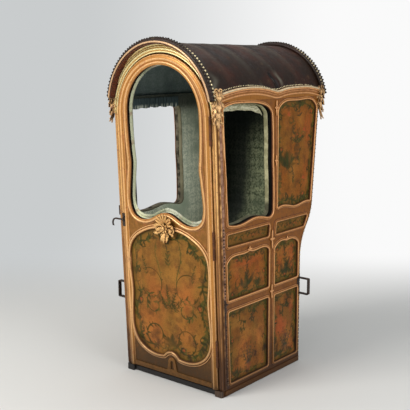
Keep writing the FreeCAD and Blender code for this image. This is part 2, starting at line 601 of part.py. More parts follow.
blocks = shapes["side_frame_right"].fuse(shapes["side_cornice_right"]).fuse(shapes["front_rim"]).fuse(shapes["front_cornice"]).fuse(shapes["rear_rim"]).fuse(shapes["front_rim_bead"]).fuse(leather)
zt = EAVE + 38
fr = drop(HALF + 9, front(zt, POST_FACE - 6), zt, 0.8, -0.5).cut(blocks)
fr = sorted(fr.Solids, key=lambda s: s.Volume)[-1]
rr = drop(HALF + 6, rear_y(zt) + 6, zt, 0.5, 0.9).cut(blocks)
rr = sorted(rr.Solids, key=lambda s: s.Volume)[-1]
shapes["corner_drop_front_right"] = fr
shapes["corner_drop_front_left"] = mirror(fr)
shapes["corner_drop_rear_right"] = rr
shapes["corner_drop_rear_left"] = mirror(rr)

# ------------------------------------------------------------------ seat
seat_back = REAR_SETBACK + BACK_T + BOARD_T + LINING_T
shapes["seat_front"] = Part.makeBox(2 * CABIN_X, SEAT_FRONT_T, SEAT_Z - FLOOR_Z - FLOOR_T, V(-CABIN_X, SEAT_Y, FLOOR_Z + FLOOR_T))
shapes["seat_board"] = Part.makeBox(2 * CABIN_X, DEPTH - seat_back - SEAT_Y + 6, SEAT_T, V(-CABIN_X, SEAT_Y - 6, SEAT_Z))
cush = Part.makeBox(2 * CABIN_X - 8, DEPTH - seat_back - SEAT_Y, CUSHION_T, V(-CABIN_X + 4, SEAT_Y - 2, SEAT_Z + SEAT_T))
shapes["seat_cushion"] = cush.makeChamfer(14, cush.Edges)

# ------------------------------------------------------------------ door
field = door_field()
win = door_window()
plate = prism(door_outline(), V(0, DOOR_T, 0))
plate.translate(V(0, DOOR_FACE, 0))
cut_win = prism(win, V(0, 400, 0))
cut_win.translate(V(0, -200, 0))
cut_field = prism(field, V(0, 400, 0))
cut_field.translate(V(0, -200, 0))
win_bead = pad(win, WIN_BEAD, V(0, -7, 0))
field_bead = pad(field, WIN_BEAD - 3, V(0, -7, 0))
for b in (win_bead, field_bead):
    b.translate(V(0, DOOR_FACE + 1, 0))
# round moulding along the edge: legs and a half turn over the head
ra, rb = DOOR_HALF - 2 - ROLL_W, DOOR_HALF - 2
section = lambda k: [arc(V(k * ra, DOOR_FACE, 0), V(k * (ra + rb) / 2, DOOR_FACE - ROLL_H, 0), V(k * rb, DOOR_FACE, 0)),
                     seg(V(k * rb, DOOR_FACE, 0), V(k * rb, DOOR_FACE + 2, 0)), seg(V(k * rb, DOOR_FACE + 2, 0), V(k * ra, DOOR_FACE + 2, 0)),
                     seg(V(k * ra, DOOR_FACE + 2, 0), V(k * ra, DOOR_FACE, 0))]
rolls = []
for k in (1, -1):
    f = Part.Face(Part.Wire(section(k)))
    f.translate(V(0, 0, DOOR_FOOT))
    rolls.append(f.extrude(V(0, 0, DOOR_ARCH_Z - DOOR_FOOT)))
head = Part.Face(Part.Wire(section(1))).revolve(V(0, 0, 0), V(0, 1, 0), -180)
head.translate(V(0, 0, DOOR_ARCH_Z))
rail = Part.makeBox(2 * DOOR_HALF - 2 * ROLL_W, 7, 26, V(-DOOR_HALF + ROLL_W, DOOR_FACE - 5, DOOR_FOOT + 3))
plate = plate.multiFuse([win_bead, field_bead, head, rail] + rolls).cut(cut_win).cut(cut_field)
shapes["door_frame"] = lean(plate)

bb = prism(rounded([xz(-DOOR_HALF + 14, DOOR_FOOT + 12), xz(DOOR_HALF - 14, DOOR_FOOT + 12), xz(DOOR_HALF - 14, WIN_SILL + 2), xz(-DOOR_HALF + 14, WIN_SILL + 2)], 4), V(0, CHANNEL_T, 0))
bb.translate(V(0, DOOR_FACE + DOOR_T, 0))
shapes["door_panel"] = lean(bb.cut(cut_win))

core = prism(door_outline(-12), V(0, CORE_T, 0))
core.translate(V(0, DOOR_FACE + DOOR_T + CHANNEL_T, 0))
core = core.cut(cut_win)
# spacer that closes the glass channel along the edge of the door
spacer = prism(door_outline(-12), V(0, CHANNEL_T, 0)).cut(prism(door_outline(-26), V(0, CHANNEL_T, 0)))
spacer.translate(V(0, DOOR_FACE + DOOR_T, 0))
spacer = spacer.cut(bb)
shapes["door_lining"] = lean(core.fuse(spacer).removeSplitter())
gal = ring(win, -GALLOON_IN, V(0, CORE_T, 0))
gal.translate(V(0, DOOR_FACE + DOOR_T + CHANNEL_T, 0))
shapes["door_galloon"] = lean(gal)

# carved shell over the middle of the sill, with scrolls at its sides
cart = Part.makeCone(34, 24, 13, V(0, 0, 0), V(0, -1, 0))
for ang in range(-60, 61, 20):
    lobe = Part.makeCone(11, 7, 15, V(44 * math.sin(math.radians(ang)), 0, 44 * math.cos(math.radians(ang)) - 4), V(0, -1, 0))
    cart = cart.fuse(lobe)
for k in (1, -1):
    scroll = Part.makeCone(21, 17, 11, V(k * 38, 0, -20), V(0, -1, 0)).cut(Part.makeCone(8, 11, 11, V(k * 38, 0, -20), V(0, -1, 0)))
    cart = cart.fuse(scroll).fuse(Part.makeCone(6, 4, 11, V(k * 38, 0, -20), V(0, -1, 0)))
tip = Part.makeCone(20, 8, 44, V(0, -4, -20), V(0, 0, -1))
cart = cart.fuse(tip).fuse(Part.makeCone(17, 9, 10, V(0, -12, 2), V(0, -1, 0)))
cart.translate(V(0, DOOR_FACE - 6, WIN_SILL - 22))
cart = cart.cut(plate).common(Part.makeBox(BIG, 40 - DOOR_FACE, BIG, V(-BIG / 2, -40 + 0, 0)))
cart = cart.cut(Part.makeBox(BIG, BIG, BIG, V(-BIG / 2, DOOR_FACE, 0)))
cart = sorted(cart.Solids, key=lambda s: s.Volume)[-1]
shapes["cartouche"] = lean(cart)

# small arched niche at the foot of the door
nz = DOOR_FOOT + 29
niche = prism([seg(xz(-34, nz), xz(34, nz)), seg(xz(34, nz), xz(24, nz + 50)), arc(xz(24, nz + 50), xz(0, nz + 72), xz(-24, nz + 50)), seg(xz(-24, nz + 50), xz(-34, nz))], V(0, -5, 0))
slot = prism([seg(xz(-10, nz + 8), xz(10, nz + 8)), seg(xz(10, nz + 8), xz(10, nz + 44)), arc(xz(10, nz + 44), xz(0, nz + 54), xz(-10, nz + 44)), seg(xz(-10, nz + 44), xz(-10, nz + 8))], V(0, -5, 0))
niche = niche.cut(slot)
niche.translate(V(0, DOOR_FACE, 0))
shapes["door_niche"] = lean(niche.cut(plate))

# ------------------------------------------------------------------ hinges
seg_l = HINGE_L / 5
for name, zc in zip(("lower", "middle", "upper"), HINGE_Z):
    z0 = zc - HINGE_L / 2
    for side in ("post", "door"):
        xa = HINGE_X + (0.5 if side == "post" else -0.5 - LEAF_T)
        leaf = Part.makeBox(LEAF_T, DOOR_T - 4 - HINGE_Y + DOOR_FACE, HINGE_L, V(xa, HINGE_Y, z0))
        body = [leaf]
        cuts = []
        for i in range(5):
            mine = (i % 2 == 0) == (side == "post")
            if mine:
                body.append(Part.makeCylinder(KNUCKLE_R, seg_l - 0.6, V(HINGE_X, HINGE_Y, z0 + i * seg_l + 0.3)))
            else:
                cuts.append(Part.makeCylinder(KNUCKLE_R + 0.5, seg_l, V(HINGE_X, HINGE_Y, z0 + i * seg_l)))
        s = body[0].multiFuse(body[1:])
        for c in cuts:
            s = s.cut(c)
        if side == "door":
            s = s.cut(Part.makeCylinder(PIN_R + PIN_ROOM, HINGE_L + 20, V(HINGE_X, HINGE_Y, z0 - 10)))
        else:
            s = s.fuse(Part.makeCylinder(PIN_R, HINGE_L, V(HINGE_X, HINGE_Y, z0))).fuse(Part.makeCone(PIN_R + 2, PIN_R, 6, V(HINGE_X, HINGE_Y, z0 + HINGE_L)))
        shapes["hinge_" + name + "_" + side] = lean(s.removeSplitter())

# ------------------------------------------------------------------ latch
zl = 862.0
handle = Part.makeBox(16, 3, 70, V(-DOOR_HALF + 4, DOOR_FACE - ROLL_H - 3, zl - 55))
handle = handle.fuse(Part.makeCylinder(6, 12, V(-DOOR_HALF + 12, DOOR_FACE - ROLL_H - 3, zl - 16), V(0, -1, 0)))
handle = handle.fuse(Part.makeBox(46, 5, 8, V(-DOOR_HALF - 34, DOOR_FACE - ROLL_H - 15, zl - 20)))
hook_c = V(-DOOR_HALF - 34, DOOR_FACE - ROLL_H - 15, zl - 42)
hook = Part.makeCylinder(30, 5, hook_c, V(0, 1, 0)).cut(Part.makeCylinder(22, 5, hook_c, V(0, 1, 0)))
hook = hook.common(Part.makeBox(60, 30, 60, V(-DOOR_HALF - 94, DOOR_FACE - ROLL_H - 30, zl - 56)))
handle = handle.fuse(hook)
seat = Part.makeBox(16, ROLL_H + 2, 70, V(-DOOR_HALF + 4, DOOR_FACE - ROLL_H - 1, zl - 55)).cut(plate)
handle = handle.fuse(seat)
handle = sorted(handle.Solids, key=lambda s: s.Volume)[-1]
shapes["latch_handle"] = lean(handle.removeSplitter())

keeper = Part.makeBox(3, 16, 96, V(-HALF - 3, 4, zl - 50))
loop = Part.makeBox(24, 10, 50, V(-HALF - 26, 7, zl - 6)).cut(Part.makeBox(16, 10, 38, V(-HALF - 21, 7, zl)))
shapes["latch_keeper"] = lean(keeper.fuse(loop.cut(keeper)).removeSplitter())


# ------------------------------------------------------------------ pole staples
def staple(y, z, plate_only=False):
    p = Part.makeBox(PLATE_T, STAPLE_W + 4, STAPLE_H + 34, V(HALF, y - STAPLE_W / 2 - 2, z - STAPLE_H / 2 - 17))
    if plate_only:
        stub = Part.makeBox(14, STAPLE_W, STAPLE_T, V(HALF + PLATE_T, y - STAPLE_W / 2, z + STAPLE_H / 2 - STAPLE_T))
        return p.fuse(stub).removeSplitter()
    outer = Part.makeBox(STAPLE_OUT - PLATE_T, STAPLE_W, STAPLE_H, V(HALF + PLATE_T, y - STAPLE_W / 2, z - STAPLE_H / 2))
    edges = [e for e in outer.Edges if abs(e.Vertexes[0].X - HALF - STAPLE_OUT) < 1e-6 and abs(e.Vertexes[-1].X - HALF - STAPLE_OUT) < 1e-6 and abs(e.Vertexes[0].Y - e.Vertexes[-1].Y) > 1]
    outer = outer.makeFillet(7, edges)
    hole = Part.makeBox(STAPLE_OUT - PLATE_T - STAPLE_T, STAPLE_W + 2, STAPLE_H - 2 * STAPLE_T, V(HALF + PLATE_T, y - STAPLE_W / 2 - 1, z - STAPLE_H / 2 + STAPLE_T))
    return p.fuse(outer.cut(hole)).removeSplitter()


y_f = front(STAPLE_Z, POST_FACE + 28)
y_r = DEPTH - REAR_POST / 2 - 1
beadbox = shapes["side_frame_right"]
shapes["staple_front_left"] = mirror(staple(y_f, STAPLE_Z).cut(beadbox))
shapes["staple_plate_front_right"] = staple(y_f, STAPLE_Z, True).cut(beadbox)
shapes["staple_rear_right"] = staple(y_r, STAPLE_Z).cut(beadbox)
shapes["staple_rear_left"] = mirror(shapes["staple_rear_right"])

# ------------------------------------------------------------------ feet
foot = Part.makeBox(FOOT_W, 30, FOOT_H, V(INNER - FOOT_W + 20, -18, 0))
foot = foot.makeFillet(6, [e for e in foot.Edges if abs(e.Vertexes[0].Z - e.Vertexes[-1].Z) > 1])
foot = foot.cut(shapes["side_frame_right"]).cut(shapes["base_frame"])
foot = sorted(foot.Solids, key=lambda s: s.Volume)[-1]
shapes["foot_front_right"] = foot
shapes["foot_front_left"] = mirror(foot)

# ------------------------------------------------------------------ place and write
box = FreeCAD.BoundBox()
for s in shapes.values():
    box.add(s.optimalBoundingBox(False, False))
shift = V(-box.Center.x, -box.Center.y, -box.ZMin)
os.makedirs("parts", exist_ok=True)
for name, s in shapes.items():
    s = s.copy()
    s.translate(shift)
    s.exportStep("parts/" + name + ".step")
axis = lean(seg(V(HINGE_X, HINGE_Y, 0), V(HINGE_X, HINGE_Y, 1000)))
a, b = axis.Vertexes[0].Point + shift, axis.Vertexes[1].Point + shift
print("hinge at", a, "to", b)
print("box", box.XLength, box.YLength, box.ZLength, "shift", shift)
for name, s in shapes.items():
    if not s.isValid() or len(s.Solids) != (4 if name == "back_rails" else 1):
        print("look at", name, s.isValid(), len(s.Solids), round(s.Volume))
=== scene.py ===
import bpy, bmesh, json, math
from math import cos, exp, pi, sin
import numpy as np
from mathutils import Vector, Matrix


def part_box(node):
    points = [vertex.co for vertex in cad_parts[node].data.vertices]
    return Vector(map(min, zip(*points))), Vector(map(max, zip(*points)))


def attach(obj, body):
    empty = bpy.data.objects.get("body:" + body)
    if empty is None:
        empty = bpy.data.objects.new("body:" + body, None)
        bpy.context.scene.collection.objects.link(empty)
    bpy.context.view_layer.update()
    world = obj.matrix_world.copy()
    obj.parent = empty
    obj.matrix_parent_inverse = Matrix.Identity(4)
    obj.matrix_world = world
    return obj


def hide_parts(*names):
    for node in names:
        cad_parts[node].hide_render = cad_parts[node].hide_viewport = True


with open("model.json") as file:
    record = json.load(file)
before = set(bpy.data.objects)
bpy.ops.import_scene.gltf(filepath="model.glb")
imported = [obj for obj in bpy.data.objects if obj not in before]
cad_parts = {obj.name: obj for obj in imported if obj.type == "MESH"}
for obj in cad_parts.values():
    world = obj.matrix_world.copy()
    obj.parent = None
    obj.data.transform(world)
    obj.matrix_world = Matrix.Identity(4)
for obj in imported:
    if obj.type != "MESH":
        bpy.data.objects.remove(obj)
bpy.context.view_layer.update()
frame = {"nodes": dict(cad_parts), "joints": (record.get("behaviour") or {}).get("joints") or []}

NODES = frame["nodes"]

# ---------------------------------------------------------------- studio
# A pale sweep of paper under soft lamps: a large one high in front at the
# left, a weaker one at the right, and an even grey room round it.


def tone(code):
    """Linear colour of a six-figure code."""
    parts = [int(code[i:i + 2], 16) / 255 for i in (0, 2, 4)]
    return tuple(p / 12.92 if p <= 0.04045 else ((p + 0.055) / 1.055) ** 2.4 for p in parts) + (1.0,)


class Wire:
    """A node's output, to be reckoned with as if it were a number."""

    def __init__(self, tree, end):
        self.tree, self.end = tree, end

    def does(self, how, *others):
        return node(self.tree, "Math", dict(enumerate((self, *others))), operation=how)

    def __add__(self, other):
        return self.does("ADD", other)

    def __mul__(self, other):
        return self.does("MULTIPLY", other)

    def __sub__(self, other):
        return self.does("SUBTRACT", other)

    def __rsub__(self, other):
        return self * -1 + other


def feed(made, sockets):
    """Gives the inputs of a node their values, colour codes or wires."""
    for key, value in sockets.items():
        socket = made.inputs[key]
        if isinstance(value, Wire):
            value.tree.links.new(value.end, socket)
        else:
            socket.default_value = tone(value) if socket.type == "RGBA" else value


def node(tree, kind, sockets=None, out=0, **settings):
    """Adds a node and gives the wire of one of its outputs."""
    made = tree.nodes.new(kind if "Node" in kind else "ShaderNode" + kind)
    for key, value in settings.items():
        setattr(made, key, value)
    feed(made, sockets or {})
    return Wire(tree, made.outputs[out]) if len(made.outputs) else None


def mix(factor, a, b):
    tree = next(w.tree for w in (factor, a, b) if isinstance(w, Wire))
    return node(tree, "Mix", {0: factor, 6: a, 7: b}, 2, data_type="RGBA", clamp_factor=True)


def between(wire, low, high, out_low=0.0, out_high=1.0):
    """Smooth step of a value from low to high."""
    return node(wire.tree, "MapRange", {0: wire, 1: low, 2: high, 3: out_low, 4: out_high},
                interpolation_type="SMOOTHSTEP")


def cloud(at, scale, detail=2.0, rough=0.5):
    return node(at.tree, "TexNoise", {"Vector": at, "Scale": scale, "Detail": detail, "Roughness": rough}, "Fac")


def stretched(at, x, y, z):
    return node(at.tree, "Mapping", {"Vector": at, "Scale": (x, y, z)})


def part(at, axis):
    return node(at.tree, "SeparateXYZ", {0: at}, axis)


def new_material(name):
    """An empty material, and the wire of the place of each point on it."""
    m = bpy.data.materials.new(name)
    m.use_nodes = True
    m.node_tree.nodes.clear()
    return m, node(m.node_tree, "TexCoord", out="Object")


def surface(at, colour, rough, height=None, strength=0.3, distance=0.001, **more):
    """The finish itself, with an optional bump, joined to the output."""
    sockets = {"Base Color": colour, "Roughness": rough, **{k.replace("_", " "): v for k, v in more.items()}}
    if height is not None:
        sockets["Normal"] = node(at.tree, "Bump", {"Height": height, "Strength": strength, "Distance": distance})
    node(at.tree, "OutputMaterial", {0: node(at.tree, "BsdfPrincipled", sockets)})


def linked(name, data):
    made = bpy.data.objects.new(name, data)
    bpy.context.collection.objects.link(made)
    return made


camera = linked("camera", bpy.data.cameras.new("camera"))
camera.data.sensor_width = 36.0
camera.data.lens = 73.4
turn = Matrix()
for degrees, axis in ((39.5, "Z"), (90 - 10.17, "X"), (-0.2, "Z")):
    turn = turn @ Matrix.Rotation(math.radians(degrees), 4, axis)
camera.matrix_world = Matrix.Translation((2.7645, -3.4742, 1.6857)) @ turn
bpy.context.scene.camera = camera
bpy.context.scene.view_settings.view_transform = "Standard"

for name, place, size, watts, warm in (("key", (-1.2, -4.2, 3.6), 2.2, 185, (1.0, 0.97, 0.93)),
                                       ("fill", (4.2, -0.9, 2.3), 2.4, 72, (0.98, 0.99, 1.0)),
                                       ("top", (0.2, 0.4, 4.4), 3.0, 46, (1.0, 1.0, 1.0))):
    light = bpy.data.lights.new(name, "AREA")
    light.size, light.energy, light.color = size, watts, warm
    lamp = linked(name, light)
    lamp.location = place
    lamp.rotation_euler = (Vector((0, 0, 0.9)) - Vector(place)).to_track_quat("-Z", "Y").to_euler()
world = bpy.data.worlds.new("room")
bpy.context.scene.world = world
world.use_nodes = True
t = world.node_tree
t.nodes.clear()
seen, glossy, through = (node(t, "LightPath", out="Is %s Ray" % k) for k in ("Camera", "Glossy", "Transmission"))
lit = node(t, "Background", {0: "e9ecf0", 1: 0.42})
pale = node(t, "Background", {0: "d6d9db", 1: 1.0})
shown = seen.does("MAXIMUM", glossy.does("MAXIMUM", through))
node(t, "OutputWorld", {0: node(t, "MixShader", {0: shown, 1: lit, 2: pale})})

bend, facing = 2.5, 39.38
sweep = [(y, 0.0) for y in (-9.0, *np.linspace(-6, 3.0, 10))]
sweep += [(3.0 + bend * sin(a), bend - bend * cos(a)) for a in np.linspace(0.15, pi / 2, 10)]
sweep += [(5.5, 9.0)]
turned = Matrix.Rotation(math.radians(facing), 3, "Z")
sheet = bpy.data.meshes.new("paper_sweep")
n = len(sweep)
corners = [tuple(turned @ Vector((x, y, 0)) + Vector((0, 0, z))) for x in (-14, 14) for y, z in sweep]
sheet.from_pydata(corners, [], [(i, i + n, i + n + 1, i + 1) for i in range(n - 1)])
paper = linked("paper_sweep", sheet)
paper_mat, at = new_material("pale_paper")
t = at.tree
flat = node(t, "Mapping", {"Vector": at, "Rotation": (0, 0, math.radians(-facing))})
back = part(flat, 1)
# Far back the sweep glows for the camera instead of taking light, with painted shade: grey at the left to white at
# the right, and greyer nearer the front.
shade = mix(between(part(flat, 0), -1.6, 1.5), "c9cccd", "fafafa")
shade = mix(between(back, -1.5, 2.6), "d3d3d0", shade)
far = between(back, 0.6, 2.6) * node(t, "LightPath", out="Is Camera Ray")
node(t, "OutputMaterial", {0: node(t, "MixShader", {0: far, 1: node(t, "BsdfDiffuse", {0: "d9d9d6"}),
                                                    2: node(t, "Emission", {0: shade, 1: 1.0})})})
sheet.materials.append(paper_mat)
sheet.polygons.foreach_set("use_smooth", [True] * len(sheet.polygons))

# ---------------------------------------------------------------- gilded frames
# The frames of the sides, the door and the roof are carved beech, laid with
# bole and leaf gold. The gold is rubbed bright on the beads and brightened there
# by a painted highlight; the hollows are dark with grime and painted shade, and
# the gilding grows darker towards the floor.


def effect(name, colours, values=""):
    """A named group of nodes, the place of each point and its own inputs."""
    g = bpy.data.node_groups.new(name, "ShaderNodeTree")
    for labels, kind in ((colours, "Color"), (values, "Float")):
        for label in filter(None, labels.split(", ")):
            g.interface.new_socket(label, in_out="INPUT", socket_type="NodeSocket" + kind)
    given = {s.name: Wire(g, s) for s in g.nodes.new("NodeGroupInput").outputs if s.name}
    return g, node(g, "TexCoord", out="Object"), given


def gives(g, **wires):
    """What a group puts out: a colour and values."""
    for label in wires:
        kind = "Color" if label == "Color" else "Float"
        g.interface.new_socket(label, in_out="OUTPUT", socket_type="NodeSocket" + kind)
    feed(g.nodes.new("NodeGroupOutput"), wires)


def worked(name, group, sockets, strength, distance, change=None, **more):
    """A material finished by an effect, with that material's own values."""
    m, at = new_material(name)
    made = at.tree.nodes.new("ShaderNodeGroup")
    made.node_tree = group
    feed(made, {k: v(at) if callable(v) else v for k, v in sockets.items()})
    g = {s.name: Wire(at.tree, s) for s in made.outputs}
    if "Metallic" in g:
        more["Metallic"] = g["Metallic"]
    colour = change(at, g["Color"]) if change else g["Color"]
    surface(at, colour, g["Roughness"], g["Height"], strength, distance, **more)
    return m


rubbed, at, gi = effect("rubbed_gilding", "Gold, Ground, Bole, Grime", "Relief, Wear")
broad, patch, fine = cloud(at, 7.0, 3), cloud(at, 46.0, 4, 0.6), cloud(at, 420.0, 3, 0.6)
z_of = part(at, 2)
# Gold on the crests: rubbed gilding with a painted highlight; ground in the hollows.
gold = between(gi["Relief"] + (patch - 0.5) * 0.7, 0.12, 0.92)
body = mix(gold, gi["Ground"], gi["Gold"])
body = mix(between(patch, 0.56, 0.66) * gi["Wear"], body, gi["Bole"])
low_down = between(z_of, 0.95, 0.02) + between(z_of, 0.38, 0.04) * 0.9
dirt = between(low_down * 0.42 + (broad - 0.45) * 0.9, 0.0, 0.85)
streak = between(cloud(stretched(at, 90, 90, 7), 2.0, 4, 0.6), 0.5, 0.7) * (0.5 - gold * 0.35)
# Darkening: patches that gather towards the floor; the hollows, as grime and painted shade, with streaks; a band
# just over the floor; spots of dirt.
for soil_and_shade in (dirt * (between(z_of, 0.5, 0.15) * 0.2 + 0.75 - gold * 0.42),
               (between(gi["Relief"], 0.22, 0.0) * 0.72).does("MAXIMUM", streak),
               between(z_of + broad * 0.04, 0.105, 0.025) * 0.7,
               between(cloud(at, 130.0, 2), 0.66, 0.74) * 0.45):
    body = mix(soil_and_shade, body, gi["Grime"])
body = mix(0.35, body, node(rubbed, "HueSaturation", {"Value": between(fine, 0.25, 0.75, 0.6, 1.35), "Color": body}))
gives(rubbed, Color=body, Roughness=between(patch + gold * -0.3, 0.1, 0.9, 0.34, 0.72), Metallic=gold * 0.35,
      Height=fine * 0.4 + patch)


def gilding(name, relief, gold, ground, bole="a8603c", grime="3c2716", wear=0.5):
    return worked(name, rubbed, {"Relief": relief, "Gold": gold, "Ground": ground, "Bole": bole, "Grime": grime,
                                 "Wear": wear}, 0.35, 0.0012, Specular_IOR_Level=0.3)


# A piece's crest values. On gilt pieces they follow the height of the profile: where high, the rubbed gold shows
# with its painted highlight; where low, grime and painted shade. On the leather they hold the tear and the painted
# shade and sheen of the folds.
def on_crest(at):
    return node(at.tree, "Attribute", out="Fac", attribute_name="crest")


def on_sides(at):
    return between(part(at, 0).does("ABSOLUTE"), 0.3232, 0.333)


hinge = frame["joints"][0]
UP = Vector(hinge["axis"]).normalized()          # along the leaning front
OUT = Vector((0, -UP.z, UP.y))                   # square off it
FOOT = Vector((0, hinge["pos_m"][1] + 0.01748, 0))
HANDS = (("right", 1), ("left", -1))
up, out, foot = np.array(UP), np.array(OUT), np.array(FOOT)


def on_front(x, s, out=0.0):
    """A point of the leaning front: across, up along it, and proud of it."""
    return FOOT + Vector((x, 0, 0)) + UP * s + OUT * out


def on_door(at):
    """Bright where the wood stands out of the leaning front, less so low."""
    d, base = node(at.tree, "VectorMath", {0: at, 1: tuple(OUT)}, 1, operation="DOT_PRODUCT"), FOOT.dot(OUT)
    return between(d, base + 0.007, base + 0.019) * between(part(at, 2), 0.09, 0.18, 0.62, 1.0)


gilt_side = gilding("gilding_sides", on_sides, "a86c2a", "703c12", "8c5222", "341d0b", 0.7)
gilt_door = gilding("gilding_door", on_door, "c08440", "7a5018", grime="3a260e")
gilt_crest = gilding("gilding_beads", on_crest, "eeae72", "80481c", grime="341c0b", wear=0.45)
gilt_roll = gilding("gilding_roll", on_crest, "f2bd80", "a0642e", "b87850", "4a2c14")
# The cornice's gold and its hollows are set paler, as painted light against the shadow of the roof's overhang.
gilt_yellow = gilding("gilding_cornice", on_crest, "fff0b4", "d4a256", "e0b070", "7a5a28", 0.22)


def dress(material, *names):
    for n in names:
        data = NODES[n].data
        data.materials.clear()
        data.materials.append(material)


dress(gilt_side, "side_frame_right", "side_frame_left", "side_cornice_right", "side_cornice_left")
dress(gilt_door, "door_frame", "door_niche")
dress(gilt_yellow, "front_cornice")


def outlines(name, along, low, high):
    """The closed edges of a frame's faces that look along a direction."""
    bm = bmesh.new()
    bm.from_mesh(NODES[name].data)
    bmesh.ops.remove_doubles(bm, verts=bm.verts, dist=2e-5)
    bm.normal_update()
    bm.edges.index_update()
    flat = {f for f in bm.faces if f.normal.dot(along) > 0.99 and low <= f.calc_center_median().dot(along) <= high}
    rim = {e for f in flat for e in f.edges if sum(g in flat for g in e.link_faces) == 1}
    rim = sorted(rim, key=lambda e: e.index)
    found = []
    while rim:
        run = list(rim.pop(0).verts)
        while run[-1] is not run[0]:
            onward = [k for k in run[-1].link_edges if k in rim]
            if not onward:
                break
            rim.remove(onward[0])
            run.append(onward[0].other_vert(run[-1]))
        if len(run) > 12 and run[-1] is run[0]:
            found.append(np.array([v.co[:] for v in run[:-1]]))
    bm.free()
    return found


def run_of(p):
    """How far each point of a line lies along it."""
    return np.concatenate([[0], np.cumsum(np.linalg.norm(np.diff(p, axis=0), axis=1))])


def read_at(at, far, p):
    return np.column_stack([np.interp(at, far, p[:, k]) for k in range(3)])


def spaced(path, step, closed=True, soften=1):
    """The same line with evenly spaced points."""
    p = np.vstack([path, path[:1]]) if closed else np.array(path, dtype=float)
    far = run_of(p)
    n = max(8, int(far[-1] / step))
    at = np.linspace(0, far[-1], n + 1)
    out = read_at(at[:n] if closed else at, far, p)
    for _ in range(soften):
        if closed:
            out = (np.roll(out, 1, 0) + 2 * out + np.roll(out, -1, 0)) / 4
        else:
            out[1:-1] = (out[:-2] + 2 * out[1:-1] + out[2:]) / 4
    return out


def solid(name, run, material, body, smooth=True):
    """A finished piece from its points, faces and crests."""
    verts, faces, crest = run
    mesh = bpy.data.meshes.new(name)
    mesh.from_pydata([tuple(v) for v in verts], [], [tuple(int(i) for i in f) for f in faces])
    mesh.materials.append(material)
    if crest is not None:
        values = mesh.attributes.new("crest", "FLOAT", "POINT").data
        values.foreach_set("value", np.asarray(crest, dtype=np.float32))
    mesh.polygons.foreach_set("use_smooth", [smooth] * len(mesh.polygons))
    mesh.update()
    made = linked(name, mesh)
    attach(made, body)
    return made


def net(n, m, ends=False, sides=False):
    """Faces of n rows of m points; ends and sides say what closes up."""
    return [(i * m + k, i * m + (k + 1) % m, (i + 1) % n * m + (k + 1) % m, (i + 1) % n * m + k)
            for i in range(n if ends else n - 1) for k in range(m if sides else m - 1)]


def moulding(path, profile, normal, closed=True, whole=False):
    """Points, faces and crests of a profile (across, out, crest) run along a
    line. Across is away from the line's middle; a whole profile is shut."""
    p, normal, profile = np.array(path), np.array(normal), np.array(profile)
    ahead = (np.roll(p, -1, 0) - np.roll(p, 1, 0)) if closed else np.gradient(p, axis=0)
    ahead /= np.linalg.norm(ahead, axis=1)[:, None]
    side = np.cross(ahead, normal)
    if np.sum(side * (p - p.mean(0))) < 0:
        side = -side
    m, n = len(profile), len(p)
    verts = (p[:, None] + side[:, None] * profile[:, :1] + normal * profile[:, 1:2]).reshape(-1, 3)
    faces = net(n, m, closed, whole)
    facing, middle = 0.0, verts[:m].mean(0)
    for a, b, c, _ in faces[:m - 1]:
        away = (verts[a] + verts[b]) / 2 - middle if whole else normal
        facing += np.dot(np.cross(verts[b] - verts[a], verts[c] - verts[a]), away)
    if facing < 0:
        faces = [f[::-1] for f in faces]
    if not closed:
        first, last = tuple(range(m)), tuple(range((n - 1) * m, n * m))
        faces += [first[::-1], last] if facing > 0 else [first, last[::-1]]
    return verts, faces, np.tile(profile[:, 2], n)


def joined(*runs):
    """Several runs of points, faces and crests as one."""
    verts, faces, base = [], [], 0
    for v, f, _ in runs:
        verts.append(v)
        faces += [tuple(i + base for i in k) for k in f]
        base += len(v)
    return np.concatenate(verts), faces, np.concatenate([c for _, _, c in runs])


def profile_of(rows, across=1.0):
    """A profile from rows of millimetres across and out, and a crest."""
    rows = [[float(k) for k in row.split()] for row in rows.split(",")]
    return [(a / 1000 * across, o / 1000, c) for a, o, c in rows]


# beads round the painted fields and the window of each side: a round bead
# with a sunk line and a low fillet on each side of it
bead = profile_of("-3 -7 0, -2.6 -4.4 0, -1.4 -2.4 .1, -.4 .6 .7, 1.2 2.4 1, 3.2 3 1, 5 2 .8, 6.4 -.6 .3, "
                  "7.4 -4 0, 8.6 -4.6 0, 9.6 -2.8 .4, 11 -1.4 .75, 12.6 -1.8 .6, 13.8 -3.8 .1, 15.2 -4.7 0, "
                  "16.2 -4.6 .3, 17 -5.6 .3")
side_fields = {}
for hand, sign in HANDS:
    loops = outlines("side_frame_" + hand, Vector((sign, 0, 0)), 0.3327, 0.3333)
    loops.sort(key=lambda l: np.ptp(l[:, 1]) * np.ptp(l[:, 2]))
    inner = []
    for l in loops:
        c = (l.min(0) + l.max(0)) / 2
        near = [k for k in loops if np.abs((k.min(0) + k.max(0)) / 2 - c).max() < 0.003 and k is not l]
        if near and np.ptp(near[0][:, 1]) > np.ptp(l[:, 1]):
            inner.append(l)
    side_fields[hand] = sorted(inner, key=lambda l: (round(l[:, 2].min(), 1), l[:, 1].min()))
    runs = []
    for l in inner:
        bright = 1.0 if np.ptp(l[:, 2]) > 0.1 else 0.65
        runs.append(moulding(spaced(l, 0.006), [(a, o, k * bright) for a, o, k in bead], (sign, 0, 0)))
    solid("side_beads_" + hand, joined(*runs), gilt_crest, "cabin")

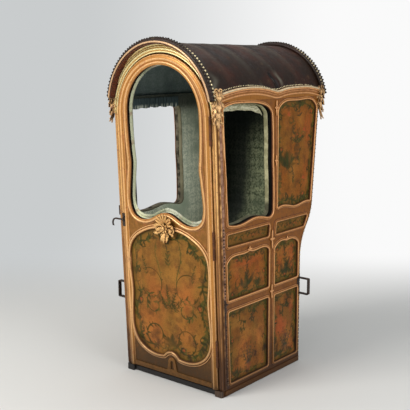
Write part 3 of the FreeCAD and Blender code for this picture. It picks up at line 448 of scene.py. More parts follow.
# ---------------------------------------------------------------- door mouldings
# The edge of the door is a heavy round moulding with a fillet on each side.
# A bead runs round the window, and another round the painted field.
roll = profile_of("-22 -9 0, -19.5 -4 .2, -18 -2 .75, -16 -2.2 .5, -14 -5.5 0, -12 -4.5 0, -10 0 .4, -7 2.6 .85, "
                  "-2 3.8 1, 3 3.2 .9, 6.5 .6 .5, 9 -3.5 0, 10.6 -5.5 0, 12.5 -2.6 .35, 15 -1.2 .8, 17.4 -2.6 .6, "
                  "18.6 -9 0")
door_r, door_s, door_foot, face = 0.283, 1.392, 0.04, 0.0175
path = [on_front(-door_r, s, face) for s in np.linspace(door_foot, door_s, 120)]
path += [on_front(-door_r * cos(a), door_s + door_r * sin(a), face) for a in np.linspace(0, pi, 110)[1:-1]]
path += [on_front(door_r, s, face) for s in np.linspace(door_s, door_foot, 120)]
base = FOOT.dot(OUT)
loops = outlines("door_frame", OUT, base + 0.0176, base + 0.0184)
win_loop = min((l for l in loops if np.ptp(l[:, 2]) > 0.7), key=lambda l: np.ptp(l[:, 0]))
low = [l for l in loops if 0.5 < np.ptp(l[:, 2]) <= 0.7 or (np.ptp(l[:, 2]) <= 0.71 and l[:, 2].min() < 0.2)]
field_loop = min(low, key=lambda l: np.ptp(l[:, 2]))
win_bead = profile_of("-3 -9 0, -2.6 -3 .15, -1 -.6 .5, 1 -.4 .5, 2.6 -2.6 0, 4 -1.8 .2, 6 1.6 .7, "
                      "9 3.8 1, 12 3.6 1, 15 1.2 .6, 17 -2.8 .1, 19 -3.8 0, 20.5 -3 .5, 22 -4 .3, "
                      "22.6 -6.5 0")
field_bead = profile_of("-3 -9 0, -2.4 -4.5 0, -1 -1.5 .35, 1.5 2.4 .9, 4.5 4 1, 8 3 .85, 10.5 -.6 .3, "
                        "12 -3.4 0, 13.5 -3.8 0, 15 -1.6 .55, 17.5 -.4 .9, 19.5 -1.4 .6, 21 -4 .1, "
                        "22 -6.5 0")
runs = joined(moulding([tuple(p) for p in path], roll, OUT, closed=False),
              moulding(spaced(win_loop, 0.005), win_bead, OUT),
              moulding(spaced(field_loop, 0.005), field_bead, OUT))
solid("door_mouldings", runs, gilt_roll, "door")

# ---------------------------------------------------------------- painted boards
# Thin boards, primed and painted in the taste of the time: an ochre ground
# with red clouds, scrolls and sprays of leaves in olive and green, varnished
# and now crazed and dirty.
OLIVE, DARK_OLIVE, GREEN, TEAL = "565020", "35330f", "343a17", "292f1c"
RED, RUST, HONEY, FLOWER, SLATE_BLUE = "b2542a", "8c4a22", "bc8038", "b8502c", "2c3230"
UPWARD = pi / 2


def way(angle):
    """The direction of an angle, or of each angle of a row."""
    if np.ndim(angle):
        return np.column_stack([np.cos(angle), np.sin(angle)])
    return np.array([cos(angle), sin(angle)])


def eased(x):
    return x * x * (3 - 2 * x)


class Board:
    """A painted board as a fine net of points, each with its own colour."""

    def __init__(self, outline, place, step, ground, seed):
        self.rng = np.random.default_rng(seed)
        self.grow = 0.004
        (u0, v0), (u1, v1) = outline.min(0) - self.grow, outline.max(0) + self.grow
        self.nu, self.nv = int((u1 - u0) / step) + 2, int((v1 - v0) / step) + 2
        u, v = np.meshgrid(np.linspace(u0, u1, self.nu), np.linspace(v0, v1, self.nv))
        self.p = np.column_stack([u.ravel(), v.ravel()])
        self.outline, self.place = outline, place
        self.c = np.tile(np.array(tone(ground)[:3]), (len(self.p), 1))
        self.lo, self.hi = outline.min(0), outline.max(0)
        self.gone = self.apart(self.p, outline, np.roll(outline, -1, 0), np.ones(len(outline)))

    def at(self, fu, fv):
        return self.lo + (self.hi - self.lo) * np.array([fu, fv])

    def lay(self, mask, code, strength):
        a = (np.clip(mask, 0, 1) * strength)[:, None]
        self.c = self.c * (1 - a) + np.array(tone(code)[:3]) * a

    def apart(self, q, starts, ends, widths):
        """How many widths each point is from the nearest of some lines."""
        best = np.full(len(q), 9.0)
        for a, b, w in zip(starts, ends, widths):
            d = b - a
            t = np.clip(((q - a) @ d) / (d @ d + 1e-12), 0, 1)
            best = np.minimum(best, np.linalg.norm(q - a - t[:, None] * d, axis=1) / w)
        return best

    def stroke(self, pts, width, code, strength=0.85, thin=0.35):
        """One brush stroke, full in its middle and thin at its ends."""
        pts = np.asarray(pts)
        reach, n = width + 0.004, len(pts) - 1
        near = np.all((self.p > pts.min(0) - reach) & (self.p < pts.max(0) + reach), axis=1)
        if near.any():
            widths = [width * (thin + (1 - thin) * sin(pi * (i + 0.5) / n)) / 2 for i in range(n)]
            mask = np.zeros(len(self.p))
            mask[near] = np.clip(1.6 - self.apart(self.p[near], pts[:-1], pts[1:], widths), 0, 1)
            self.lay(mask, code, strength)

    def leaf(self, base, angle, length, code, strength=0.8, fat=0.34):
        bend = self.rng.uniform(-0.5, 0.5)
        t = np.linspace(0, 1, 7)
        self.stroke(base + way(angle + bend * t) * (length * t)[:, None], length * fat, code, strength, thin=0.1)

    def spray(self, base, angle, length, leaves, codes, turn=0.0, size=0.02):
        """A stem with leaves on both sides of it."""
        h = angle + turn * np.linspace(0, 1, 16)
        pts = base + np.cumsum(way(h) * (length / 16), axis=0)
        self.stroke(pts, 0.0035, codes[0], 0.8)
        for k in range(leaves):
            i = 1 + int(14 * (k + 0.5) / leaves)
            for side in (1, -1):
                a = h[i] + side * self.rng.uniform(0.5, 1.1)
                big = size * self.rng.uniform(0.7, 1.25) * (1.1 - 0.5 * i / 16)
                self.leaf(pts[i], a, big, self.one_of(codes), 0.75)
        self.leaf(pts[-1], h[-1], size, codes[-1], 0.8)

    def one_of(self, codes):
        return codes[self.rng.integers(len(codes))]

    def bloom(self, centre, size, code, strength=0.6):
        """A soft spot, as a flower or a cloud."""
        d = (self.p - centre) / np.asarray(size)
        wob = 1 + 0.25 * np.sin(np.arctan2(d[:, 1], d[:, 0]) * 5 + centre[0] * 90)
        self.lay(1.25 - np.linalg.norm(d, axis=1) / wob, code, strength)

    def patches(self, cells, low, code, strength, sharp=3):
        """Soft random patches of a colour."""
        small = self.rng.random((cells + 3, cells + 3))
        y, x = np.linspace(0, cells, self.nv), np.linspace(0, cells, self.nu)
        yi, xi = y.astype(int), x.astype(int)
        fy, fx = eased((y - yi)[:, None]), eased((x - xi)[None, :])
        a, b = (small[i][:, xi] * (1 - fx) + small[i][:, xi + 1] * fx for i in (yi, yi + 1))
        self.lay(((a * (1 - fy) + b * fy).ravel() - low) * sharp, code, strength)

    def net(self):
        """Points, faces and colours of the board within its outline."""
        x, y = self.p[:, 0], self.p[:, 1]
        hit = np.zeros(len(self.p), bool)
        for (x0, y0), (x1, y1) in zip(self.outline, np.roll(self.outline, -1, 0)):
            hit ^= ((y0 > y) != (y1 > y)) & (x < (x1 - x0) * (y - y0) / (y1 - y0 + 1e-15) + x0)
        k = (hit | (self.gone < self.grow)).reshape(self.nv, self.nu)
        cell = k[:-1, :-1] & k[1:, :-1] & k[:-1, 1:] & k[1:, 1:]
        i = np.arange(self.nv * self.nu).reshape(self.nv, self.nu)
        quads = np.column_stack([i[:-1, :-1][cell], i[:-1, 1:][cell], i[1:, 1:][cell], i[1:, :-1][cell]])
        used = np.unique(quads)
        new = np.full(len(self.p), -1)
        new[used] = np.arange(len(used))
        rise = eased(np.clip(self.gone[used] / 0.09, 0, 1))
        return self.place(self.p[used], rise), new[quads], self.c[used]


def ribbon(b, pts, width, codes, leaves=0.0, size=0.02):
    """A painted scroll drawn along a line, with small leaves off it."""
    pts = np.asarray(pts)
    n = len(pts)
    span = max(4, n // max(1, int(n / 14)))
    for i in range(0, n - 2, span):
        wide = width * b.rng.uniform(0.8, 1.3)
        b.stroke(pts[i:min(n, i + span + 2)], wide, b.one_of(codes), 0.88, thin=0.55)
    for _ in range(int(leaves * n)):
        i = int(b.rng.uniform(1, n - 2))
        d = pts[i + 1] - pts[i - 1]
        a = math.atan2(d[1], d[0]) + b.rng.choice([-1, 1]) * b.rng.uniform(0.5, 1.3)
        b.leaf(pts[i], a, size * b.rng.uniform(0.6, 1.3), b.one_of(codes), 0.85)


def curl(centre, r, start, turns, n=40, tight=0.75):
    """Points of a spiral that winds in."""
    t = np.linspace(0, 1, n)
    return np.asarray(centre) + way(start + turns * 2 * pi * t) * (r * (1 - tight * t))[:, None]


def border(b, inset, lobes, width, size):
    """A lobed scroll frame a hand's breadth inside the edge, with leaves."""
    line = spaced(np.column_stack([b.outline, np.zeros(len(b.outline))]), 0.006, soften=6)[:, :2]
    n = len(line)
    lobe = np.abs(np.sin(np.arange(n) / n * pi * lobes + 0.6))
    inward = (b.lo + b.hi) / 2 - line
    inward /= np.linalg.norm(inward, axis=1)[:, None]
    path = line + inward * (inset * (0.66 + 0.68 * lobe ** 2))[:, None]
    ribbon(b, np.vstack([path, path[:2]]), width, (OLIVE, DARK_OLIVE, GREEN, "4a4a1c"), 0.55, size)
    again = line + inward * (inset * (1.62 - 0.3 * lobe))[:, None]
    span = max(6, n // (2 * lobes))
    for i in range(0, n, span):
        if b.rng.random() < 0.72:
            b.stroke(again[i:i + span - 2], width * 0.45, DARK_OLIVE, 0.75, thin=0.3)
    for i in range(lobes):
        j = int(n * (i + 0.1) / lobes) % n
        c = path[j] + inward[j] * size * 0.7
        turned = curl(c, size * 0.85, math.atan2(*(-inward[j][::-1])), 0.8 if i % 2 else -0.8)
        ribbon(b, turned, width * 0.75, (GREEN, DARK_OLIVE, TEAL), 0.15, size * 0.5)
        if i % 3 == 0:
            b.bloom(c, (size * 0.35, size * 0.3), "c0542c", 0.7)


def urn(b, foot, tall, wide):
    """A vase on a foot, filled with leaves, as an accent."""
    for f, w in ((0.02, 0.5), (0.1, 0.22), (0.24, 0.75), (0.42, 1.0), (0.58, 0.8), (0.68, 0.42)):
        c = foot + np.array([0, tall * f])
        b.stroke([c - [wide * w / 2, 0], c, c + [wide * w / 2, 0]], tall * 0.15, TEAL, 0.5, thin=0.6)
    top = foot + np.array([0, tall * 0.7])
    for a in np.linspace(0.5, pi - 0.5, 7):
        b.spray(top, a, tall * b.rng.uniform(0.4, 0.6), 3, (GREEN, OLIVE, TEAL),
                b.rng.uniform(-0.5, 0.5), tall * 0.16)
    for a in (0.9, 1.6, 2.2):
        b.bloom(top + way(a) * tall * 0.4, (tall * 0.06, tall * 0.05), FLOWER, 0.8)


def mound(b, place, wide, tall, code=TEAL):
    """A dark tuft of leaves."""
    for _ in range(20):
        a = b.rng.uniform(0.25, pi - 0.25)
        at = place + np.array([b.rng.uniform(-0.35, 0.35) * wide, b.rng.uniform(0, 0.3) * tall])
        b.leaf(at, a, tall * b.rng.uniform(0.35, 0.8), b.one_of((code, GREEN, DARK_OLIVE)), 0.6, 0.3)


def paint(b, design):
    """The ochre ground with its patches, then the scrolls and leaves."""
    red = {"door": 0.4, "low": 0.7}.get(design, 0.55)
    for patch in ((4, 0.54, RED, red), (5, 0.56, HONEY, 0.4), (6, 0.58, "7c5c24", 0.45), (15, 0.6, RUST, 0.3),
                  (40, 0.55, "6e4a1e", 0.35)):
        b.patches(*patch)
    b.lay(1 - b.gone / 0.05, "665422", 0.8)
    b.lay(1 - b.gone / 0.016, "4a3a1a", 0.7)
    if design == "door":
        for sx in (-1, 1):
            b.bloom(b.at(0.5 + 0.2 * sx, 0.2), (0.085, 0.075), RED, 0.2)
            b.bloom(b.at(0.5 + 0.22 * sx, 0.52), (0.06, 0.11), RED, 0.26)
            turned = curl(b.at(0.5 + 0.24 * sx, 0.56), 0.085, UPWARD - 0.6 * sx, sx * 0.8, 60, 0.2)
            ribbon(b, turned, 0.0045, (OLIVE, DARK_OLIVE), 0.12, 0.016)
        border(b, 0.036, 11, 0.0085, 0.029)
        for sx in (-1, 1):
            top = b.at(0.5 + 0.13 * sx, 0.93)
            drop = [top + np.array([sx * 0.018 * sin(t * 5), -0.24 * t]) for t in np.linspace(0, 1, 30)]
            ribbon(b, drop, 0.005, (OLIVE, "6e5c28"), 0.3, 0.016)
            turned = curl(b.at(0.5 + 0.2 * sx, 0.4), 0.062, UPWARD, -sx * 0.9, 60, 0.6)
            ribbon(b, turned, 0.006, (OLIVE, GREEN), 0.35, 0.022)
            turned = curl(b.at(0.5 + 0.19 * sx, 0.16), 0.075, -UPWARD, sx * 0.85, 60, 0.45)
            ribbon(b, turned, 0.007, (GREEN, DARK_OLIVE), 0.3, 0.022)
            b.spray(b.at(0.5 + 0.3 * sx, 0.6), UPWARD + 0.1 * sx, 0.1, 5, (OLIVE, GREEN, DARK_OLIVE), -sx * 0.5)
        for k, a in enumerate(np.linspace(0.75, pi - 0.75, 9)):
            b.spray(b.at(0.5, 0.36) + np.array([0.03 * cos(a), 0.012 * (k % 3)]), a,
                    0.075 + 0.035 * sin(a) ** 4, 5, (DARK_OLIVE, OLIVE, GREEN), 0.25 * (-1) ** k, 0.019)
        b.bloom(b.at(0.5, 0.41), (0.03, 0.045), DARK_OLIVE, 0.28)
        b.spray(b.at(0.5, 0.7), UPWARD, 0.1, 5, (GREEN, OLIVE, TEAL), 0.1, 0.024)
        mound(b, b.at(0.5, 0.075), 0.08, 0.09, DARK_OLIVE)
    elif design == "tall":
        border(b, 0.024, 9, 0.0075, 0.026)
        for k, f in enumerate((0.2, 0.36, 0.66, 0.82)):
            sx = (-1) ** k
            b.spray(b.at(0.5 - 0.1 * sx, f), UPWARD - sx * 0.5, 0.085, 4, (OLIVE, GREEN, TEAL), sx * 0.9, 0.024)
            b.bloom(b.at(0.5 + 0.2 * sx, f + 0.05), (0.014, 0.012), FLOWER, 0.8)
            ribbon(b, curl(b.at(0.5 + 0.16 * sx, f), 0.026, 0, sx * 0.9), 0.004, (OLIVE, DARK_OLIVE), 0.1, 0.014)
        urn(b, b.at(0.52, 0.44), 0.12, 0.045)
        mound(b, b.at(0.24, 0.36), 0.05, 0.11, GREEN)
    elif design == "middle":
        border(b, 0.02, 8, 0.0068, 0.021)
        mound(b, b.at(0.47, 0.16), 0.09, 0.09)
        b.spray(b.at(0.5, 0.3), UPWARD, 0.11, 6, (TEAL, GREEN, DARK_OLIVE), 0.15, 0.026)
        for sx in (-1, 1):
            b.bloom(b.at(0.5 + 0.24 * sx, 0.5), (0.026, 0.045), RED, 0.32)
            turned = curl(b.at(0.5 + 0.22 * sx, 0.3), 0.03, UPWARD, -sx * 0.9)
            ribbon(b, turned, 0.0045, (OLIVE, GREEN), 0.2, 0.014)
        mound(b, b.at(0.76, 0.14), 0.06, 0.045, GREEN)
    elif design == "narrow":
        for k in range(7):
            sx = (-1) ** k
            turned = curl(b.at(0.09 + 0.135 * k, 0.5 - 0.1 * sx), 0.019, pi * (k % 2), sx * 0.9)
            ribbon(b, turned, 0.0045, (OLIVE, DARK_OLIVE, GREEN), 0.25, 0.014)
    else:
        border(b, 0.022, 8, 0.006, 0.02)
        ribbon(b, curl(b.at(0.64, 0.78), 0.042, 0.4, 0.7), 0.006, (GREEN, TEAL), 0.4)
        ribbon(b, curl(b.at(0.32, 0.72), 0.04, 2.2, -0.7), 0.006, (GREEN, DARK_OLIVE), 0.4)
        b.bloom(b.at(0.52, 0.18), (0.024, 0.05), SLATE_BLUE, 0.45)
        for a in (1.0, 1.4, 1.75, 2.15):
            b.spray(b.at(0.52, 0.13), a, 0.11, 5, (SLATE_BLUE, DARK_OLIVE, GREEN), 0.3 - 0.2 * a)
        mound(b, b.at(0.25, 0.06), 0.09, 0.05)
        b.bloom(b.at(0.38, 0.45), (0.05, 0.05), RED, 0.3)
    b.patches(9, 0.66, "c07a3a", 0.25)
    b.patches(22, 0.7, "4a3418", 0.4, 5)


crazed, at, gi = effect("crazed_varnish", "Paint, Dirt", "Low dirt")
web = node(crazed, "TexVoronoi", {"Vector": at, "Scale": 95.0}, feature="DISTANCE_TO_EDGE")
line, blot, grit = between(web, 0.05, 0.0), cloud(at, 13.0, 4, 0.62), cloud(at, 260.0, 3, 0.6)
low = between(part(at, 2), 0.4, 0.05) * gi["Low dirt"]
col = mix(line * 0.3, gi["Paint"], gi["Dirt"])
col = mix(between(blot, 0.45, 0.72) * (low + 0.35), col, gi["Dirt"])
col = node(crazed, "HueSaturation", {"Value": between(grit, 0.25, 0.75, 0.8, 1.2), "Color": col})
gives(crazed, Color=col, Roughness=between(blot, 0.3, 0.8, 0.38, 0.62), Height=grit * 0.5 - line)


def painted(at):
    return node(at.tree, "Attribute", out="Color", attribute_name="paint")


board_mat = worked("painted_boards", crazed, {"Paint": painted, "Dirt": "33261e", "Low dirt": 1.0},
                   0.25, 0.0006, Specular_IOR_Level=0.12)


def hang(name, boards, body):
    """Painted boards of one wall as one piece."""
    verts, faces, cols = joined(*(b.net() for b in boards))
    made = solid(name, (verts, faces, None), board_mat, body)
    paint = made.data.attributes.new("paint", "FLOAT_COLOR", "POINT").data
    paint.foreach_set("color", np.column_stack([cols, np.ones(len(cols))]).astype(np.float32).ravel())
    return made


for hand, sign in HANDS:
    boards = []
    for k, loop in enumerate(side_fields[hand]):
        lo, hi = loop.min(0), loop.max(0)
        if hi[2] - lo[2] > 0.5 and lo[1] < 0.0:
            continue                             # the window

        def place(p, rise, s=sign):
            return np.column_stack([s * (0.3215 + 0.0035 * rise), p[:, 0], p[:, 1]])

        design = ("tall" if lo[2] > 0.86 else "narrow" if hi[2] - lo[2] < 0.1
                  else "middle" if lo[2] > 0.4 else "low")
        ochre = "824e1d" if design == "low" else "8f541b"
        boards.append(Board(spaced(loop, 0.008)[:, 1:], place, 0.0032, ochre, 40 + k + (0 if sign > 0 else 20)))
        paint(boards[-1], design)
    made = hang("painted_side_" + hand, boards, "cabin")
    if sign < 0:
        made.data.flip_normals()


def on_leaning_door(p, rise):
    lean = p[:, 1:2] * up + (0.006 + 0.0075 * rise)[:, None] * out
    return foot + np.column_stack([p[:, 0], np.zeros(len(p)), np.zeros(len(p))]) + lean


loop = spaced(field_loop, 0.008)
b = Board(np.column_stack([loop[:, 0], (loop - foot) @ up]), on_leaning_door, 0.0028, "8f6228", 7)
paint(b, "door")
hang("painted_door", [b], "door")

# ---------------------------------------------------------------- leather roof
# One hide of dark brown leather is stretched over the barrel of boards and
# nailed all round. It has sagged into soft folds across, and split in a place
# near the rear edge.
hide, at, gi = effect("worn_leather", "Skin, Red, Scuff", "Scuffs")
mid, grain = cloud(at, 24.0, 5, 0.65), node(hide, "TexVoronoi", {"Vector": at, "Scale": 420.0})
dry = cloud(stretched(at, 60, 8, 60), 3.0, 3, 0.6)
col = mix(between(cloud(at, 5.0, 4, 0.6), 0.42, 0.68), gi["Skin"], gi["Red"])
col = mix(between(mid, 0.6, 0.72) * gi["Scuffs"], col, gi["Scuff"])
col = mix(between(dry, 0.62, 0.78) * 0.14, col, gi["Scuff"])
gives(hide, Color=col, Roughness=between(mid, 0.25, 0.8, 0.34, 0.66), Height=grain * 0.5 + mid)


def dark_tear_fold_shade_and_sheen(at, colour):
    """Black in the tear, painted shade in the folds' troughs, and a pale painted sheen where they shine."""
    worn = on_crest(at)
    return mix(worn * -1.0, mix(worn, colour, "0c0807"), "6c685a")


def leather(name, skin, red, scuff, scuffs):
    return worked(name, hide, {"Skin": skin, "Red": red, "Scuff": scuff, "Scuffs": scuffs},
                  0.4, 0.0007, dark_tear_fold_shade_and_sheen, Specular_IOR_Level=0.2)


hide_mat = leather("roof_leather", "201209", "3a190c", "584630", 0.55)
rim_hide = leather("rim_leather", "241a14", "36201a", "6a5a44", 0.5)
vault_z, front_r, rear_a, rear_b, rim_out = 1.42, 0.33, 0.334, 0.315, 0.045
rear_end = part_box("roof_leather")[1].y
half_turn = math.acos((1.476 - vault_z) / front_r)


def on_roof(phi, v, lift=0.0):
    """A point of the barrel: phi from the crown, v from front to rear."""
    s, c = sin(phi), cos(phi)
    f = np.array(on_front(front_r * s, vault_z + front_r * c, rim_out))
    r = np.array((rear_a * s, rear_end, vault_z + rear_b * c))
    return f + (r - f) * v + np.array((s, 0, c)) * lift


def hump(x, middle, wide):
    return exp(-((x - middle) / wide) ** 2)


def within(phi, low, high):
    return 1 / (1 + exp(-(phi - low) * 40)) * (1 / (1 + exp((phi - high) * 40)))


folds = [(0.17, 1.0, 0.5), (0.36, 1.2, 0.8), (0.55, 1.1, 0.7), (0.76, 1.0, 0.4)]
nu, nv = 170, 210
verts, wear = [], []
first, second = np.random.default_rng(11).uniform(0, 6.28, 8)[:2]
for phi in np.linspace(-half_turn, half_turn, nu):
    across, low_side = abs(phi), abs(phi) / half_turn
    deepest = max(0.12, 1.0 - 0.62 * across) * (0.3 + 0.7 * min(1.0, across / 0.3))
    for v in np.linspace(0.012, 0.988, nv):
        lift, fold_shade, sheen = 0.0006, 0.0, 0.0
        for place, deep, slant in folds:
            far = v - place - 0.07 * slant * across ** 1.5
            d = (far - 0.01 * sin(5 * phi + place * 9)) / 0.04
            lift += 0.0042 * deep * (0.6 * hump(d, 0, 1) - 0.9 * hump(d, 1.1, 0.45)) * deepest
            fold_shade += hump(far / 0.04, 1.2, 0.7)
            sheen += deep * hump(far / 0.04, -0.15, 0.75)
        lift += 0.0012 * low_side ** 6 * sin(v * 210 + 2.2 * sin(v * 23))
        lift += 0.0008 * sin(v * 37 + first + 3 * phi) * sin(7 * phi + second)
        tear = hump(v, 0.56 + 0.012 * sin(phi * 17), 0.014) * within(phi, 0.98, 1.26)
        flap = hump(v, 0.592, 0.014) * within(phi, 1.0, 1.24)
        verts.append(on_roof(phi, v, lift - 0.006 * tear + 0.0055 * flap))
        fold_shade *= max(0.0, 1.0 - 0.72 * across)
        sheen *= max(0.0, 1.0 - 0.85 * across) * 0.3
        # Painted sheen: gleams by the tear, at the front corner and in streaks low on the flanks.
        sheen += 0.9 * hump(v, 0.612 + 0.01 * sin(phi * 23), 0.016) * hump(phi, 1.1, 0.1)
        sheen += 0.7 * hump(v, 0.075 + 0.02 * sin(phi * 19), 0.02) * hump(phi, 1.22, 0.2)
        sheen += 0.3 * hump(phi, 1.24 + 0.05 * sin(v * 9), 0.05) * max(0.0, sin(v * 31) * sin(v * 71 + 2))
        # Each point holds its tear and the painted shade of the folds' troughs, less their painted sheen.
        wear.append(min(1.0, 1.6 * tear + 0.85 * fold_shade) - sheen)
roof = solid("leather_roof", (verts, net(nu, nv), wear), hide_mat, "cabin")
if sum(p.normal.z for p in roof.data.polygons) < 0:
    roof.data.flip_normals()
wall = roof.modifiers.new("thickness", "SOLIDIFY")
wall.thickness, wall.offset = 0.0026, -1.0
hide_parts("roof_leather")

# ---------------------------------------------------------------- roof rims
# A roll of leather round a cane hides the front and the rear edge of the
# roof. The front one has a thin gilt bead in front of it, and under it the
# bare boards show, stained dark red.
low_end = math.asin((1.4785 - vault_z) / (front_r + 0.011))
half_round = np.linspace(low_end, pi - low_end, 150)


def over_front(r, proud, angles):
    """A line over the front of the roof, square off the leaning front."""
    return [tuple(on_front(-r * cos(a), vault_z + r * sin(a), proud)) for a in angles]


def over_rear(grow, y, angles):
    return [((rear_a + grow) * -cos(a), y, vault_z + (rear_b + grow) * sin(a)) for a in angles]


def rim(name, path, rows, normal, material, slot, smooth=True):
    """A rim laid over the roof's edge, from the table of its section."""
    run = moulding(path, profile_of(rows), normal, closed=False, whole=True)
    return solid(name, run, material, "cabin", smooth)


path = over_front(front_r, 0.0, half_round)
front_roll = rim("front_roof_roll", path,
                 ".5 17.2 0, 10 17.2 0, 16.5 18.2 0, 20.5 21.5 0, 22.2 26.5 0, 22.5 31.5 0, 22.2 36.5 0, "
                 "20 41.2 0, 16 44 0, 9 45 0, .5 45 0", OUT, rim_hide, "roof_leather")
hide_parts("front_rim")
gilt_pale = gilding("gilding_lip", on_crest, "dcb48a", "8a6440", grime="5a4430", wear=0.4)
lip_piece = rim("front_roof_lip", path,
                "-1 45 .3, -1 49 .6, 1 50.8 .9, 4 51.2 1, 7 50 .8, 8.4 47.5 .5, 8.4 45 .3",
                OUT, gilt_pale, "gilt_frame")
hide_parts("front_rim_bead")
soffit_mat, at = new_material("stained_soffit")
wood = cloud(stretched(at, 30, 4, 30), 6.0, 4, 0.6)
surface(at, mix(between(wood, 0.3, 0.7), "3a1a10", "6a3018"), 0.6, wood, 0.3, 0.0008)
rim("front_soffit", path, "-6.8 5 0, -4.2 5 0, -4.2 45 0, -6.8 45 0", OUT, soffit_mat, "dark_frame",
    smooth=False)
rear_piece = rim("rear_roof_roll", over_rear(0.0, rear_end, half_round),
                 ".5 -31.5 0, 12 -31.8 0, 17.5 -29 0, 20.5 -23.5 0, 21 -16 0, 20.5 -8.5 0, 17.5 -3 0, "
                 "12 -.4 0, .5 -.4 0", (0, 1, 0), rim_hide, "roof_leather")
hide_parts("rear_rim")

# ---------------------------------------------------------------- front cornice
# Under the roof a stack of gilt ridges follows the head of the door. It is
# deepest at the crown and dies into the roof at both sides.
ridges = [(0.3085, -0.02, 0), (0.3085, 0.0035, 0.3)]
for r, wide, high in ((0.3075, 0.01, 0.007), (0.3195, 0.013, 0.01), (0.3345, 0.006, 0.007), (0.342, 0.017, 0.013)):
    for u, q in zip((0.0, 0.15, 0.32, 0.5, 0.68, 0.85, 1.0), (0.0, 0.62, 0.92, 1.0, 0.92, 0.62, 0.0)):
        ridges.append((r + wide * u, 0.003 + high * q, 0.12 + 0.88 * q))
tiny = 0.001
path = [on_front(-tiny * cos(a), door_s + tiny * sin(a)) for a in np.linspace(0, pi, 130)]
v, f, c = moulding(path, [(a - tiny, o, k) for a, o, k in ridges], OUT, closed=False)
centre = np.array(on_front(0, vault_z))
rel = v - centre
x, along = rel[:, 0], rel @ up
k = np.minimum(1.0, (front_r - 0.0066) / np.hypot(x, along))
v = centre + np.column_stack([x * k, 0 * x, 0 * x]) + (along * k)[:, None] * up + (rel @ out)[:, None] * out
cornice = solid("arched_cornice", (v, [q for q in f if len(q) == 4], c), gilt_yellow, "cabin")
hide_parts("front_cornice")

# ---------------------------------------------------------------- nails
# Round-headed brass nails, gone dark, hold the leather all round: two rows
# over each rim and one along the gilt edge of each side. They are set by hand.
# The brass carries painted glints, kept off the crown and the rear, and one
# row on each rim is a darker copy of it, as painted shade.
brass, at = new_material("brass_nails")
old = cloud(at, 60.0, 3, 0.6)
# Painted glints where the noise allows; none over the crown or towards the rear, where the nails are painted dark as
# shade.
high = between(part(at, 2), 1.69, 1.735).does("MAXIMUM", between(part(at, 1), 0.3, 0.42, 0.0, 0.62))
bright = between(old, 0.3, 0.5) * (1.0 - high)
surface(at, mix(bright, "2c2218", "e0cfa4"), between(old, 0.3, 0.7, 0.45, 0.25), old, 0.2, 0.0004, Metallic=0.6)
# A darker copy of the brass for one row on each rim: painted shade.
shaded_brass, at = new_material("shaded_brass_nails")
surface(at, "30261c", 0.42, Metallic=0.4)


def nail_heads(name, rows, radius, material):
    """A dome on each place of some rows, turned to face its way."""
    places, facing = (np.concatenate(k) for k in zip(*rows))
    mesh = bpy.data.meshes.new(name)
    mesh.from_pydata([tuple(p) for p in places], [], [])
    ways = mesh.attributes.new("facing", "FLOAT_VECTOR", "POINT").data
    ways.foreach_set("vector", facing.astype(np.float32).ravel())
    holder = linked(name, mesh)
    tree = bpy.data.node_groups.new(name + "_set", "GeometryNodeTree")
    for label, end, kind in (("Geometry", "OUTPUT", "Geometry"), ("Geometry", "INPUT", "Geometry"),
                             ("Head radius", "INPUT", "Float")):
        size = tree.interface.new_socket(label, in_out=end, socket_type="NodeSocket" + kind)
    places, wide = (node(tree, "NodeGroupInput", out=k) for k in (0, 1))
    ball = node(tree, "GeometryNodeMeshUVSphere", {"Segments": 9, "Rings": 6, "Radius": wide}, "Mesh")
    ball = node(tree, "GeometryNodeTransform", {"Geometry": ball, "Scale": (1, 1, 0.95)})
    ball = node(tree, "GeometryNodeSetShadeSmooth", {0: ball})
    aim = node(tree, "GeometryNodeInputNamedAttribute", {0: "facing"}, data_type="FLOAT_VECTOR")
    aim = node(tree, "FunctionNodeAlignRotationToVector", {"Vector": aim}, axis="Z")
    vary = node(tree, "FunctionNodeRandomValue", {"Seed": 5, 2: 0.85, 3: 1.12}, 1)
    spots = {"Points": places, "Instance": ball, "Rotation": aim, "Scale": vary}
    heads = node(tree, "GeometryNodeRealizeInstances", {0: node(tree, "GeometryNodeInstanceOnPoints", spots)})
    heads = node(tree, "GeometryNodeSetMaterial", {"Geometry": heads, "Material": material})
    node(tree, "NodeGroupOutput", {0: heads})
    live = holder.modifiers.new("nails", "NODES")
    live.node_group = tree
    live[size.identifier] = radius
    bpy.context.view_layer.update()
    done = bpy.data.meshes.new_from_object(holder.evaluated_get(bpy.context.evaluated_depsgraph_get()))
    bpy.data.objects.remove(holder)
    made = linked(name, done)
    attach(made, "cabin")


def nail_row(points, facing, gap, seed):
    """Places about every gap along a line, a little uneven."""
    p = np.asarray(points, dtype=float)
    far = run_of(p)
    at = np.arange(gap / 2, far[-1], gap)
    at = at + np.random.default_rng(seed).uniform(-0.07, 0.07, len(at)) * gap
    return read_at(at, far, p), read_at(at, far, np.asarray(facing, dtype=float))


def smoothed(line, wide):
    """A running mean that reaches wide points to each side."""
    n = 2 * wide + 1
    return np.convolve(np.pad(line, wide, mode="edge"), np.ones(n) / n, mode="valid")


